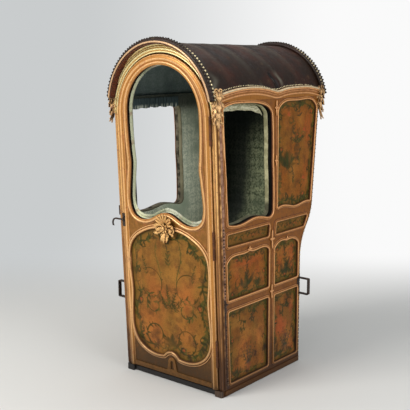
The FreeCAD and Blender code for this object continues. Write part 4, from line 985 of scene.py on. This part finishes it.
angles = np.linspace(low_end, pi - low_end, 160)
radial = np.array([(-cos(a), 0, sin(a)) for a in angles])
rows = [nail_row(over_front(front_r + 0.0222, proud, angles), radial + tilt * out, 0.018, seed)
        for proud, tilt, seed in ((0.0235, -0.35, 1), (0.0375, 0.35, 2))]
rows += [nail_row(over_rear(grow, rear_end + back, angles), radial + np.array((0, tilt, 0)), 0.018, seed)
         for grow, back, tilt, seed in ((0.02, -0.0245, -0.4, 3), (0.0205, -0.007, 0.4, 4))]
edge = {}
for hand, sign in HANDS:
    pts = np.array([v.co[:] for v in NODES["side_cornice_" + hand].data.vertices])
    y, z = pts[pts[:, 2] > 1.484, 1:].T
    ys = np.linspace(y.min() + 0.004, y.max() - 0.004, 90)
    top = smoothed([z[np.abs(y - k) < 0.012].max() for k in ys], 3)
    edge[hand] = (ys, top)
    front, rear = on_roof(1.3, 0)[1], on_roof(1.3, 1)[1]
    line = []
    for y, z in zip(ys, top):
        v, low, high = (y - front) / (rear - front), 0.6, half_turn
        for _ in range(22):                      # down the roof to just over the edge
            mid = (low + high) / 2
            low, high = (mid, high) if on_roof(mid, v)[2] > z + 0.01 else (low, mid)
        line.append(on_roof(low, v, 0.0018) * (sign, 1, 1))
    rows.append(nail_row(line, np.tile((sign * 1.0, 0, 0.35), (len(line), 1)), 0.014, 6))
kinds = (((0, 2), 0.0056, brass), ((1, 3), 0.0056, shaded_brass), ((4, 5), 0.0036, brass))
for k, (which, radius, material) in enumerate(kinds):
    nail_heads("roof_nails_%d" % (k + 1), [rows[i] for i in which], radius, material)

# ---------------------------------------------------------------- side cornices
# Along each side a gilt moulding in two swags covers the joint of wall and
# roof. It has a pale bead on its edge and sunk lines that follow it.
swag = ("-34 -4.5 0, -30 -1 .5, -26 .8 .9, -22 -1 .4, -20 -4 0, -16 -.5 .35, -11 2 .6, -7.5 .5 .3, "
        "-6.5 -1 .1, -5 4 .7, -2.5 6.2 1, .5 6.4 1, 3 4.5 1, 4.2 .5 .7, 4.2 -10 .3")
pale_edge = "2 -4 0, 2.4 7 .7, 5.5 8.2 1, 8.5 7.2 1, 10 4 .7, 10.4 -8 0"
gilt_edge = gilding("gilding_edge", on_crest, "ead2a8", "a88258", "b8a684", "5a4430", 0.6)
for hand, sign in HANDS:
    line = [(sign * 0.333, y, z - 0.004) for y, z in zip(*edge[hand])]

    def along_side(rows, turned):
        v, f, c = moulding(line, profile_of(rows, turned), (sign, 0, 0), closed=False)
        return v, [q for q in f if len(q) == 4], c

    v, f, c = along_side(swag, 1)
    turned = -1 if v[swag.count(",")][2] < v[0][2] else 1
    solid("side_swag_" + hand, along_side(swag, turned), gilt_crest, "cabin")
    v, f, c = along_side(pale_edge, turned)
    c = c * (0.8 + 0.35 * np.sin(v[:, 1] * 83) * np.sin(v[:, 1] * 219))
    solid("side_edging_" + hand, (v, f, c), gilt_edge, "cabin")

# ---------------------------------------------------------------- carved leaves
# The four roof corners carry drops of acanthus, and a pierced shell with
# scrolls sits over the sill of the door. They are carved limewood, gilt.
gilt_carving = gilding("gilding_carving", on_crest, "d2a670", "54381e", "94685a", "22160d", 0.75)
gilt_shell = gilding("gilding_shell", on_crest, "ecba76", "5e3a1a", "9a6448", "24160c", 0.4)


def mended(made, weld=None):
    """Joins the points that meet and turns every face outward."""
    bm = bmesh.new()
    bm.from_mesh(made.data)
    if weld:
        bmesh.ops.remove_doubles(bm, verts=bm.verts, dist=weld)
    bmesh.ops.recalc_face_normals(bm, faces=bm.faces)
    bm.to_mesh(made.data)
    bm.free()


def flipped(faces):
    return [(a, d, c, b) for a, b, c, d in faces]


class Carving:
    """Leaves, scrolls and pearls gathered into one carved piece."""

    def __init__(self, across, along, out):
        self.frame = [np.array(Vector(a).normalized()) for a in (across, along, out)]
        self.runs = []

    def at(self, x, y, z):
        return self.frame[0] * x + self.frame[1] * y + self.frame[2] * z

    def leaf(self, base, angle, length, width, thick=0.004, rise=0.004, curl=0.01, lobes=4, bend=0.0):
        """One leaf: a notched outline, a sunk vein, its tip curled out."""
        m, n = 9, 22
        top, low, crest = [], [], []
        start = way(pi / 2 - angle)
        for t in np.linspace(0, 1, n):
            d = way(pi / 2 - angle - bend * t)
            mid = np.array(base[:2]) + (start + d) * 0.5 * length * t
            notch = abs(sin(pi * lobes * t))
            w = width * sin(pi * min(1, 0.1 + 0.93 * t)) ** 0.75 * (1 - 0.22 * notch) + 0.0006
            z = base[2] + rise * sin(pi * t * 0.85) + curl * t ** 3
            for u in np.linspace(-1, 1, m):
                h = thick * (1 - abs(u) ** 2.2 - 0.55 * exp(-(u / 0.16) ** 2) - 0.25 * notch * abs(u))
                p = mid + np.array([d[1], -d[0]]) * w * u
                top.append(self.at(*p, z + h))
                low.append(self.at(*p, z - 0.0022))
                crest.append(max(0.0, min(1.0, 0.25 + 0.85 * h / thick + 0.35 * t)))
        k = m * n
        faces = net(n, m)
        faces += [tuple(k + i for i in f) for f in flipped(faces)]
        rim = [i * m for i in range(n)] + [(n - 1) * m + j for j in range(1, m)]
        rim += [i * m + m - 1 for i in range(n - 2, -1, -1)] + list(range(m - 2, 0, -1))
        faces += [(a, b, k + b, k + a) for a, b in zip(rim, rim[1:] + rim[:1])]
        self.runs.append((np.array(top + low), faces, np.array(crest + [0.0] * k)))

    def volute(self, centre, r, turns, width, start, hand, rise=0.003):
        """A scroll that winds in and rises to its eye."""
        n, m = 46, 8
        verts, crest = [], []
        for t in np.linspace(0, 1, n):
            d = way(start + hand * turns * 2 * pi * t)
            w = width * (1 - 0.45 * t)
            for b in np.arange(m) * 2 * pi / m:
                p = np.array(centre[:2]) + d * (r * (1 - 0.8 * t) + w * cos(b))
                verts.append(self.at(*p, centre[2] + rise * t + w * 0.9 * sin(b)))
                crest.append(max(0, sin(b)))
        faces = flipped(net(n, m, sides=True)) + [tuple(range(m)), tuple(range((n - 1) * m, n * m))[::-1]]
        self.runs.append((np.array(verts), faces, np.array(crest)))

    def pearl(self, centre, r):
        n, m = 6, 9
        ball = [(sin(a) * cos(b), sin(a) * sin(b), cos(a) * 0.8)
                for a in np.linspace(0, pi, n + 1) for b in np.arange(m) * 2 * pi / m]
        verts = [self.at(*(np.array(centre) + r * np.array(d))) for d in ball]
        crest = np.array([max(0, d[2] / 0.8) for d in ball])
        self.runs.append((np.array(verts), net(n + 1, m, sides=True), crest))

    def finished(self, name, origin, body, *nodes, material=None):
        v, f, c = joined(*self.runs)
        made = solid(name, (v + np.array(origin), f, c), material or gilt_carving, body)
        mended(made, 1e-6)
        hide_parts(*nodes)


tiers = ((0.0, 0.046, 0.017, 0.008, 0.015), (0.034, 0.05, 0.0165, 0.012, 0.012),
         (0.072, 0.044, 0.0135, 0.01, 0.009), (0.104, 0.04, 0.0095, 0.014, 0.006))
for end, fore in (("front", -1), ("rear", 1)):
    for hand, sign in HANDS:
        name = "corner_drop_%s_%s" % (end, hand)
        lo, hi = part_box(name)
        c = Carving((1, 0, 0), (0, 0, -1), (0, 1, 0))
        for turned_by, size in ((-0.95, 1.0), (0.95, 1.0), (0.0, 1.22)):
            to = Matrix.Rotation(turned_by, 3, "Z") @ Vector((sign * 0.9, fore * 0.43, 0))
            c.frame = [np.array(a) for a in (Vector((0, 0, 1)).cross(to), Vector((0, 0, -1)), to)]
            c.leaf((0, -0.002, -0.002), 0.0, 0.15 * size, 0.0175 * size, 0.0065, 0.006, 0.01, 5)
            for y, long, wide, curled, rise in tiers:
                c.leaf((0, y * size, 0.004), 0.0, long * size, wide * size, 0.0055, rise * size, curled * size, 3)
                for k in (-1, 1):
                    c.leaf((k * 0.004, y * size + 0.003, 0.001), k * 0.42, long * 0.8 * size,
                           wide * 0.62 * size, 0.0045, rise * 0.6, curled * 0.8, 3, bend=k * 0.55)
        c.volute((-0.012, 0.004, 0.01), 0.012, 1.3, 0.0052, 1.6, -1)
        c.volute((0.012, 0.004, 0.01), 0.012, 1.3, 0.0052, 1.5, 1)
        for y, r in ((0.003, 0.0068), (0.067, 0.005), (0.1, 0.0042)):
            c.pearl((0, y, 0.019 - y * 0.06), r)
        root = (sign * 0.326, hi.y - 0.024, hi.z + 0.002)
        if end == "front":
            root = (sign * 0.339, lo.y + 0.03, hi.z + 0.01)
        c.finished("acanthus_%s_%s" % (end, hand), Vector(root), "cabin", name)

c = Carving((1, 0, 0), UP, OUT)
for a in np.linspace(-1.45, 1.45, 9):
    c.leaf((0.014 * sin(a), 0.008 + 0.014 * cos(a), 0.006), a, 0.05 - 0.004 * abs(a), 0.008, 0.0065, 0.013, 0.008, 1)
for k in (-1, 1):
    c.volute((k * 0.04, -0.016, 0.008), 0.021, 1.4, 0.0062, pi / 2, -k, 0.006)
    c.volute((k * 0.018, -0.04, 0.009), 0.013, 1.2, 0.005, pi / 2, k, 0.006)
    for x, y, a, long, wide, bend in ((0.034, 0.008, 1.35, 0.034, 0.0115, 0.9),
                                      (0.04, -0.03, 2.0, 0.03, 0.0105, -0.9),
                                      (0.012, -0.038, 2.75, 0.036, 0.0095, 0.5),
                                      (0.026, 0.026, 0.9, 0.036, 0.0095, -0.8),
                                      (0.022, -0.008, 1.7, 0.03, 0.011, 0.6)):
        c.leaf((k * x, y, 0.007), k * a, long, wide, 0.0055, 0.009, 0.01, 3, bend=k * bend)
c.leaf((0, -0.022, 0.01), pi, 0.056, 0.0135, 0.0065, 0.012, 0.006, 4)
c.pearl((0, -0.004, 0.022), 0.0125)
for a in np.linspace(0, 2 * pi, 8, endpoint=False):
    c.leaf((0.007 * sin(a), -0.004 + 0.007 * cos(a), 0.015), a, 0.02, 0.0068, 0.0038, 0.005, 0.004, 1)
c.finished("shell_cartouche", on_front(0, 0.838, 0.016), "door", "cartouche", material=gilt_shell)

c = Carving((1, 0, 0), UP, OUT)
for k in (-1, 1):
    beside = abs(win_loop[np.argmin(np.abs(win_loop[:, 2] - 1.15) + (win_loop[:, 0] * k < 0)), 0]) + 0.014
    for a, long in ((0.15, 0.034), (pi - 0.12, 0.022)):
        c.leaf((k * beside, 1.15, -0.001), -k * a, long, 0.0062, 0.0036, 0.002, 0.0, 1)
c.finished("window_cusps", on_front(0, 0, 0.0185), "door", material=gilt_roll)

# small leaves where the bars of each side cross and at the peak of each field
for hand, sign in HANDS:
    c = Carving((0, 1, 0), (0, 0, 1), (sign, 0, 0))
    for y, z, size in ((0.0265, 0.742, 1.0), (0.0265, 0.462, 0.8), (0.053, 1.15, 0.6), (0.053, 1.42, 0.8)):
        for a, long in ((0.0, 0.05), (pi, 0.05), (1.45, 0.02), (-1.45, 0.02)):
            c.leaf((y, z, -0.001), a, long * size, 0.0085 * size, 0.0036, 0.0025, 0.0, 1)
    for loop in side_fields[hand]:
        if 0.5 <= loop[:, 2].max() <= 0.78:
            peak = loop[np.argmax(loop[:, 2] - 0.5 * np.abs(loop[:, 1] - loop[:, 1].mean()))]
            for a in (1.35, -1.35, 0.0):
                c.leaf((peak[1], peak[2] + 0.006, 0.001), a, 0.02, 0.0048, 0.003, 0.003, 0.001, 2)
    c.finished("crossing_leaves_" + hand, (sign * 0.3315, 0, 0), "cabin", material=gilt_crest)

# ---------------------------------------------------------------- corner posts
# The front edge of each side is a post with a worn round bead beside the
# door and a strip of old braid behind it, nailed on the right. Nails follow
# its back edge.


def edge_of(hand, z, rear):
    """Where the side wall starts or ends at a height."""
    data = NODES["side_frame_" + hand].data
    pts = np.array([v.co[:] for v in data.vertices])
    a, b = (pts[[e.vertices[k] for e in data.edges]] for k in (0, 1))
    found = []
    for h in z:
        hit = (a[:, 2] - h) * (b[:, 2] - h) < 0
        y = a[hit, 1] + (h - a[hit, 2]) / (b[hit, 2] - a[hit, 2]) * (b[hit, 1] - a[hit, 1])
        found.append(y.max() if rear else y.min())
    return np.array(found)


def leaning(z):
    """How far forward the leaning front is at a height."""
    return FOOT.y + (z - FOOT.z) * UP.y / UP.z


def crests_fading_low(c, z, fade, most):
    """Crests that fade towards the foot."""
    return c * np.clip(0.3 + (z - 0.72) * fade, 0.3, most)


def window_of(hand):
    return [l for l in side_fields[hand] if np.ptp(l[:, 2]) > 0.5 and l[:, 1].min() < 0][0]


lip_roll = profile_of("-5.5 -6 0, -4.6 -.5 .4, -1.6 1.8 1, 1.6 2 1, 4.2 .2 .6, 5.5 -6 0")
post_bead = profile_of("-6.5 -6 0, -6 -2.5 .1, -4.6 -.2 .6, -1.6 1.6 1, 1.6 1.6 1, 4.6 -.2 .6, 6 -2.5 .1, 6.5 -6 0")
braid = profile_of("-10 -6 0, -9.6 -3 .2, -8 -2 .7, -4 -2.9 .3, 0 -1.8 .8, 4 -2.9 .3, 8 -2 .8, 9.6 -3 .2, 10 -6 0")
twin = ("-15 -4 0, -14.4 .6 .4, -11.5 3 .9, -8 3.8 1, -5 2.4 .7, -3 .3 0, -1 .2 0, 1 1.4 .5, 4 3.4 .35, "
        "7.5 4 .5, 11 3 .3, 14.4 .6 .1, 15 -4 0")
old_braid = gilding("worn_braid", on_crest, "d8a888", "8a5e46", "a88070", "3c261c", 0.9)
post_gold = gilding("gilding_posts", on_crest, "ffca80", "b07a42", "9a6448", "3e2413", 0.7)
for hand, sign in HANDS:
    def upright(name, y, z, profile, material, wear=lambda c, z: c, x=0.3325, normal=(sign, 0, 0)):
        v, f, c = moulding([(sign * x, *p) for p in zip(y, z)], profile, normal, closed=False)
        solid(name + "_" + hand, (v, f, wear(c, v[:, 2])), material, "cabin")

    loop = spaced(window_of(hand), 0.004)
    z = np.linspace(0.985, 1.375, 110)
    ahead = loop[:, 1] < loop[:, 1].mean()
    fore = smoothed([loop[(np.abs(loop[:, 2] - h) < 0.02) & ahead, 1].min() for h in z], 4)
    uneven = 0.0032 * np.sin(z * 17.5 + 1.0) + 0.0008 * np.sin(z * 71)
    upright("window_lip", fore - 0.002 + uneven, z, lip_roll, gilt_roll)
    z = np.linspace(0.036, 1.4, 150)
    upright("post_bead", leaning(z) + 0.0135, z, post_bead, post_gold, lambda c, z: crests_fading_low(
        c * np.clip(0.45 + 0.5 * np.sin(z * 61) + 0.5 * np.sin(z * 143 + 1.0), 0.15, 1.0), z, 2.4, 0.8))
    uneven = 0.0018 * np.sin(z * 55) + 0.0012 * np.sin(z * 131)
    upright("post_braid", leaning(z) + 0.0315 + uneven, z, braid, old_braid,
            lambda c, z: c * np.clip((z - 0.44) * 12, 0.0, 1.0) * np.clip(
                0.75 + 0.35 * np.sin(z * 190 + 3 * np.sin(z * 37)) + 0.25 * np.sin(z * 411), 0.1, 1.0))
    z = np.linspace(0.036, 1.44, 160)
    upright("post_front", edge_of(hand, z, False), z, profile_of(twin, sign * 0.9), post_gold,
            lambda c, z: crests_fading_low(c, z, 2.6, 1.0), 0.3185, OUT)
strap_iron, at = new_material("strap_iron")
surface(at, mix(between(cloud(at, 40.0, 4), 0.42, 0.58), "6e543c", "2a1c12"), 0.55, Specular_IOR_Level=0.4)
z = np.linspace(0.05, 1.44, 260)
rows = []
for hand, sign in HANDS:
    y = smoothed(edge_of(hand, z, True), 5) - 0.0055
    outward = np.tile((sign * 1.0, 0.25, 0), (len(z), 1))
    rows.append(nail_row([(sign * 0.33, *p) for p in zip(y, z)], outward, 0.022, 8))
nail_heads("edge_nails", rows, 0.0034, brass)
z = np.linspace(0.05, 0.86, 110)
strap = [(0.3315 - 0.001 * (h > 0.45), leaning(h) + 0.03, h) for h in z]
nail_heads("strap_nails", [nail_row(strap, np.tile((1.0, 0, 0), (len(z), 1)), 0.017, 9)], 0.0048, strap_iron)

# ---------------------------------------------------------------- lining
# The cabin is lined with sage green damask over stuffed boards, with a pale
# galloon round each opening. The vault has a darker stuff.
woven, at, gi = effect("damask_weave", "Figure, Field, Shadow", "Size")
wob = node(woven, "TexNoise", {"Vector": at, "Scale": 9.0}, "Color")
wob = node(woven, "VectorMath", {0: wob, 3: 0.02}, operation="SCALE")
swayed = node(woven, "VectorMath", {0: at, 1: wob}, operation="ADD")
across, upward = part(swayed, 0) + part(swayed, 1), part(swayed, 2)
lattice = (across * gi["Size"]).does("SINE") + (upward * (gi["Size"] * 0.72)).does("SINE")
fig = between(lattice * 0.22 + (cloud(at, 95.0, 4, 0.62) - 0.5) * 6.0, -1.0, 1.0)
col = mix(between(cloud(at, 5.0, 3), 0.46, 0.72), mix(fig, gi["Field"], gi["Figure"]), gi["Shadow"])
thread = (upward * 3600.0).does("SINE") * (across * 3600.0).does("SINE")
col = node(woven, "HueSaturation", {"Value": between(thread, -1, 1, 0.9, 1.1), "Color": col})
gives(woven, Color=col, Roughness=between(fig, 0, 1, 0.85, 0.55), Height=fig + thread * 0.3)


def damask(name, figure, field, shadow, size=170.0, shade_bands=()):
    """The stuff in its own dyes, darkened towards near black along the given bands as painted shade."""
    def darkened(at, colour):
        for axis, low, high, strength in shade_bands:
            colour = mix(between(part(at, axis), low, high) * strength, colour, "151a17")
        return colour

    return worked(name, woven, {"Figure": figure, "Field": field, "Shadow": shadow, "Size": size},
                  0.3, 0.0006, darkened, Sheen_Weight=0.2, Sheen_Roughness=0.4, Specular_IOR_Level=0.2)


# The sage is set very pale, as painted light for the dim inside; both linings get painted shade high up and towards
# the rear or the left.
sage = damask("sage_damask", "eef0d8", "bcc6ae", "a6b29a", shade_bands=[(2, 1.35, 1.43, 0.85), (1, 0.18, 0.28, 0.7)])
dark_damask = damask("deep_damask", "a6ac86", "4a5440", "525c48",
                     shade_bands=[(0, -0.02, -0.14, 0.94), (2, 1.12, 1.38, 0.92)])
slate = damask("slate_vault", "76827e", "64726f", "4e5a5a", 90.0)
dress(sage, "side_lining_right", "side_lining_left", "seat_front")
dress(dark_damask, "back_lining", "door_lining")
dress(slate, "ceiling_lining")

cloth, at = new_material("galloon")
ribs = node(at.tree, "TexWave", {"Vector": at, "Scale": 260.0, "Distortion": 3.0}, "Fac",
            bands_direction="DIAGONAL")
col = mix(between(cloud(at, 14.0, 3), 0.42, 0.6), "dcdec4", "a8ae8c")
col = mix(between(cloud(at, 75.0, 4, 0.65), 0.52, 0.62) * 0.6, col, "6c7060")
col = mix(between(part(at, 0), -0.12, -0.2), col, "eef0c8")
col = mix(between(cloud(at, 22.0, 4), 0.56, 0.66) * 0.7, col, "c09a78")
surface(at, mix(ribs * 0.25, col, "8f9674"), 0.75, ribs + cloud(at, 300.0, 3), 0.5, 0.0007, Sheen_Weight=0.3)


def waves(rng, angles, counts, least, whole_turn, fall):
    """A sum of waves of random height and start along a line."""
    return sum(rng.uniform(least, 1.0) * np.sin(angles * k + rng.uniform(0, whole_turn)) / (1 + fall * k)
               for k in counts)


def puffed(path, profile, normal, seed, amount):
    """A stuffed band that puckers along its length."""
    v, f, c = moulding(path, profile, normal, whole=True)
    m = len(profile)
    n = len(v) // m
    s = waves(np.random.default_rng(seed), np.arange(n) / n * 2 * pi, (3, 7, 13, 24, 41), 0.4, 6.28, 0.03)
    swell = np.tile([o > 0.0005 for _, o, _ in profile], n)
    return v + np.array(normal) * (np.repeat(s / 3.0, m) * amount * swell)[:, None], f, None


line = spaced(win_loop, 0.004) - out * (0.018 + 0.0152)
band = profile_of(".4 4 0, .1 8 0, -1.2 9.6 0, -3 9 0, -4.6 5 0, -6 -2 0, -6.2 -9 0, .4 -9 0")
g_piece = solid("door_window_band", puffed(line, band, OUT, 3, 0.0016), cloth, "door")
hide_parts("door_galloon")
# The glass channels are near black: painted shade for the shadow deep in them.
channel_shade, at = new_material("shade_black_channel")
surface(at, "0d0b09", 0.9, Specular_IOR_Level=0.1)
channel = profile_of(".3 3 0, -1.4 3 0, -1.4 27 0, .3 27 0")
solid("door_window_channel", moulding(line, channel, OUT, whole=True), channel_shade, "door")
sill = line[line[:, 2] < 0.965]
sill = spaced(sill[np.argsort(sill[:, 0])], 0.005, closed=False, soften=3)
n, m = len(sill), 12
wrinkle = waves(np.random.default_rng(21), np.linspace(0, 1, n) * 2 * pi, (2, 5, 9, 17, 31), 0.5, 6, 0.05)
tube = [(0.0075 * cos(a), 0.0058 * sin(a), 0) for a in np.linspace(0, 2 * pi, m, endpoint=False)]
v, f, c = moulding(sill + np.outer(wrinkle * 0.001 + 0.0145, up), tube, OUT, closed=False, whole=True)
v = v + out * np.repeat(wrinkle * 0.0012 - 0.001, m)[:, None]
sill_roll = solid("door_sill_roll", (v, f, None), cloth, "door")

worn_jamb, at = new_material("worn_jamb")
surface(at, mix(between(cloud(at, 30.0, 4), 0.4, 0.6), "7a7260", "35322a"), 0.85, Specular_IOR_Level=0.15)
pale_tape, at = new_material("window_tape")
used = mix(between(cloud(at, 26.0, 4), 0.38, 0.62), "bdb890", "918d6a")
# Darker towards the sill and on the left window.
used = mix(between(part(at, 2), 0.96, 0.915) * 0.8, used, "3a3a30")
used = mix(between(part(at, 0), 0.1, -0.1) * 0.72, used, "66604e")
surface(at, used, 0.8, cloud(at, 240.0, 3), 0.5, 0.0008, Specular_IOR_Level=0.2)
wide = profile_of(".2 2 0, 0 7 0, -1.2 9 0, -2.8 9.4 0, -4.2 7.6 0, -4.8 4 0, -5 0 0, -5.2 -9 0, -4.6 -13 0, "
                  ".2 -13 0")
gap = profile_of(".2 6 0, -1.4 6 0, -1.4 33 0, .2 33 0")
for hand, sign in HANDS:
    line = spaced(window_of(hand), 0.005)
    line[:, 0] = sign * 0.2935
    run = puffed(line, wide, (sign, 0, 0), 5, 0.0012)
    piece = solid("side_window_tape_" + hand, run, pale_tape, "cabin")
    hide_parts("side_galloon_" + hand)
    shaded = channel_shade if sign > 0 else worn_jamb
    solid("window_channel_" + hand, moulding(line, gap, (sign, 0, 0), whole=True), shaded, "cabin")

# The blind of the right window is rolled up under its head; a pleated
# pelmet with a short fringe hangs over the left one.
head = spaced(window_of("right"), 0.004)
head = head[head[:, 2] > 1.405]
head = spaced(head[np.argsort(head[:, 1])], 0.0045, closed=False, soften=4)
head[:, 0] = 0.276
rng = np.random.default_rng(4)
n, m = len(head), 18
verts = []
rolls = [(k, rng.uniform(0, 6.28), rng.uniform(0.5, 1.0)) for k in (2, 4, 7, 12, 19, 30)]
for u, p in zip(np.linspace(0, 1, n), head):
    swell = sum(a * sin(2 * pi * k * u + start) / (1 + 0.06 * k) for k, start, a in rolls) / 3
    full = min(1.0, 6 * u + 0.2, 6 * (1 - u) + 0.2)
    for b in np.arange(m) * 2 * pi / m:
        lumps = 0.0016 * sin(3 * b + 9 * u * pi) + 0.0012 * sin(5 * b - 31 * u)
        r = (0.0165 + 0.0022 * swell + lumps) * full
        verts.append((p[0] - 0.002 + 0.62 * r * cos(b), p[1], p[2] - 0.021 + r * sin(b) * 1.1 + 0.003 * swell))
faces = net(n, m, sides=True) + [tuple(range(m))[::-1], tuple(range((n - 1) * m, n * m))]
blind_mat, at = new_material("blind_cloth")
fold = cloud(stretched(at, 70, 12, 70), 3.0, 4, 0.6)
surface(at, mix(between(fold, 0.36, 0.62), "8b8866", "d6d2b4"), 0.8, fold, 0.7, 0.002, Specular_IOR_Level=0.2)
blind = solid("rolled_blind", (verts, faces, None), blind_mat, "cabin")
mended(blind)
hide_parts("pelmet_right")

lo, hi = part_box("pelmet_left")
n, m, pleats = 300, 14, 17
deep = hi.z - lo.z
verts = []
for u in np.linspace(0, 1, n):
    scallop = 0.006 * abs(sin(pi * u * 5)) - 0.004 * sin(pi * u)
    pleat = sin(u * 2 * pi * pleats + 0.6 * sin(u * 40))
    for w in np.linspace(0, 1, m):
        x = (lo.x + hi.x) / 2 + (0.002 + 0.0028 * w) * pleat
        verts.append((x, lo.y + (hi.y - lo.y) * u, hi.z - (deep - 0.01 + scallop) * w))
pelmet_mat, at = new_material("slate_pelmet")
fringe = between(part(at, 2), lo.z + 0.032, lo.z + 0.016)
strands = cloud(stretched(at, 10, 150, 6), 1.0, 2)
surface(at, mix(fringe * between(strands, 0.46, 0.58), "4c5a5c", "cdd2c4"), 0.8, strands, 0.4, 0.001,
        Specular_IOR_Level=0.2)
pelmet = solid("pleated_pelmet", (verts, net(n, m), None), pelmet_mat, "cabin")
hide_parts("pelmet_left")

# The cushion of the seat is a loose squab, a little hollowed by use.
lo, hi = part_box("seat_cushion")
n = 26
grid = np.linspace(-1, 1, n)
centre, half = (lo + hi) / 2, (hi - lo) / 2
verts = []
for face in (1, -1):
    for a in grid:
        for b in grid:
            rounded = (1 - abs(a) ** 5) ** 0.5 * (1 - abs(b) ** 5) ** 0.5
            sag = 0.008 * exp(-(a * a + b * b) / 0.3) if face > 0 else 0.0
            verts.append((centre.x + half.x * a, centre.y + half.y * b,
                          centre.z + face * (half.z * rounded - sag)))
faces = flipped(net(n, n))
faces += [tuple(q + n * n for q in f[::-1]) for f in faces]
squab = solid("seat_squab", (verts, faces, None), dark_damask, "cabin")
mended(squab, 1e-5)
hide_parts("seat_cushion")

# ---------------------------------------------------------------- ironwork
# The staples that take the carrying poles, the hinges and the latch are
# forged iron, brown with age and rubbed at their edges.
forged, at, gi = effect("forged_iron", "Iron, Rust, Rubbed")
scale, pits = cloud(at, 40.0, 5, 0.65), cloud(at, 190.0, 3, 0.6)
col = mix(between(scale, 0.45, 0.66), gi["Iron"], gi["Rust"])
col = mix(between(pits, 0.6, 0.72), col, gi["Rubbed"])
gives(forged, Color=col, Roughness=between(scale, 0.3, 0.7, 0.42, 0.75), Height=scale + pits * 0.4)


def iron(name, base, rust, rub):
    return worked(name, forged, {"Iron": base, "Rust": rust, "Rubbed": rub}, 0.4, 0.0008, Metallic=0.55)


dress(iron("black_iron", "3b3430", "4a352a", "6a625c"), *[n for n in NODES if n.startswith(("staple", "latch"))])
dress(iron("hinge_iron", "54331f", "74462a", "a07850"), *[n for n in NODES if n.startswith("hinge")])

# ---------------------------------------------------------------- plain woodwork
# The base, floor, seat, hoop and the frame of the back are oak and beech,
# stained dark brown where they show. The base, the floor and the left front
# foot are painted near black as shade, and a black board under the door
# stands for the shadow in the gap there.
stain, at, gi = effect("stained_wood", "Light, Dark")
grain, pore = cloud(stretched(at, 40, 40, 3.5), 4.0, 5, 0.65), cloud(stretched(at, 300, 300, 14), 3.0, 3, 0.6)
col = mix(between(grain, 0.35, 0.65), gi["Dark"], gi["Light"])
gives(stain, Color=mix(between(pore, 0.55, 0.7) * 0.6, col, gi["Dark"]),
      Roughness=between(grain, 0.2, 0.8, 0.5, 0.75), Height=grain + pore)


def stained(name, light, dark):
    return worked(name, stain, {"Light": light, "Dark": dark}, 0.35, 0.0008)


# Near black, as painted shade: the base, the floor and the left front foot.
shade_black_wood = stained("shade_black_base", "171210", "0c0908")
dress(shade_black_wood, "base_frame", "floor_board", "foot_front_left")
# A near-black board under the door's foot stands for the shadow in the gap between the door and the floor: painted
# shade.
shade_board = bpy.data.meshes.new("shade_board")
bm = bmesh.new()
board = Matrix.Translation((0, -0.3665, 0.0145)) @ Matrix.Diagonal((0.552, 0.022, 0.027, 1.0))
bmesh.ops.create_cube(bm, size=1.0, matrix=board)
bmesh.ops.bevel(bm, geom=list(bm.edges), offset=0.0012, segments=1, affect="EDGES")
bm.to_mesh(shade_board)
bm.free()
shade_board.materials.append(shade_black_wood)
made = linked("shade_board", shade_board)
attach(made, "cabin")
dress(stained("worn_foot", "4e3a2a", "2a1c12"), "foot_front_right")
dress(stained("brown_wood", "5e3e24", "34210f"), "back_stile_right", "back_stile_left", "back_rails", "back_head")
dress(stained("dark_wood", "3a281a", "1e150e"), "front_hoop", "roof_boards", "seat_board",
      "side_panel_right", "side_panel_left", "back_panel", "door_panel")
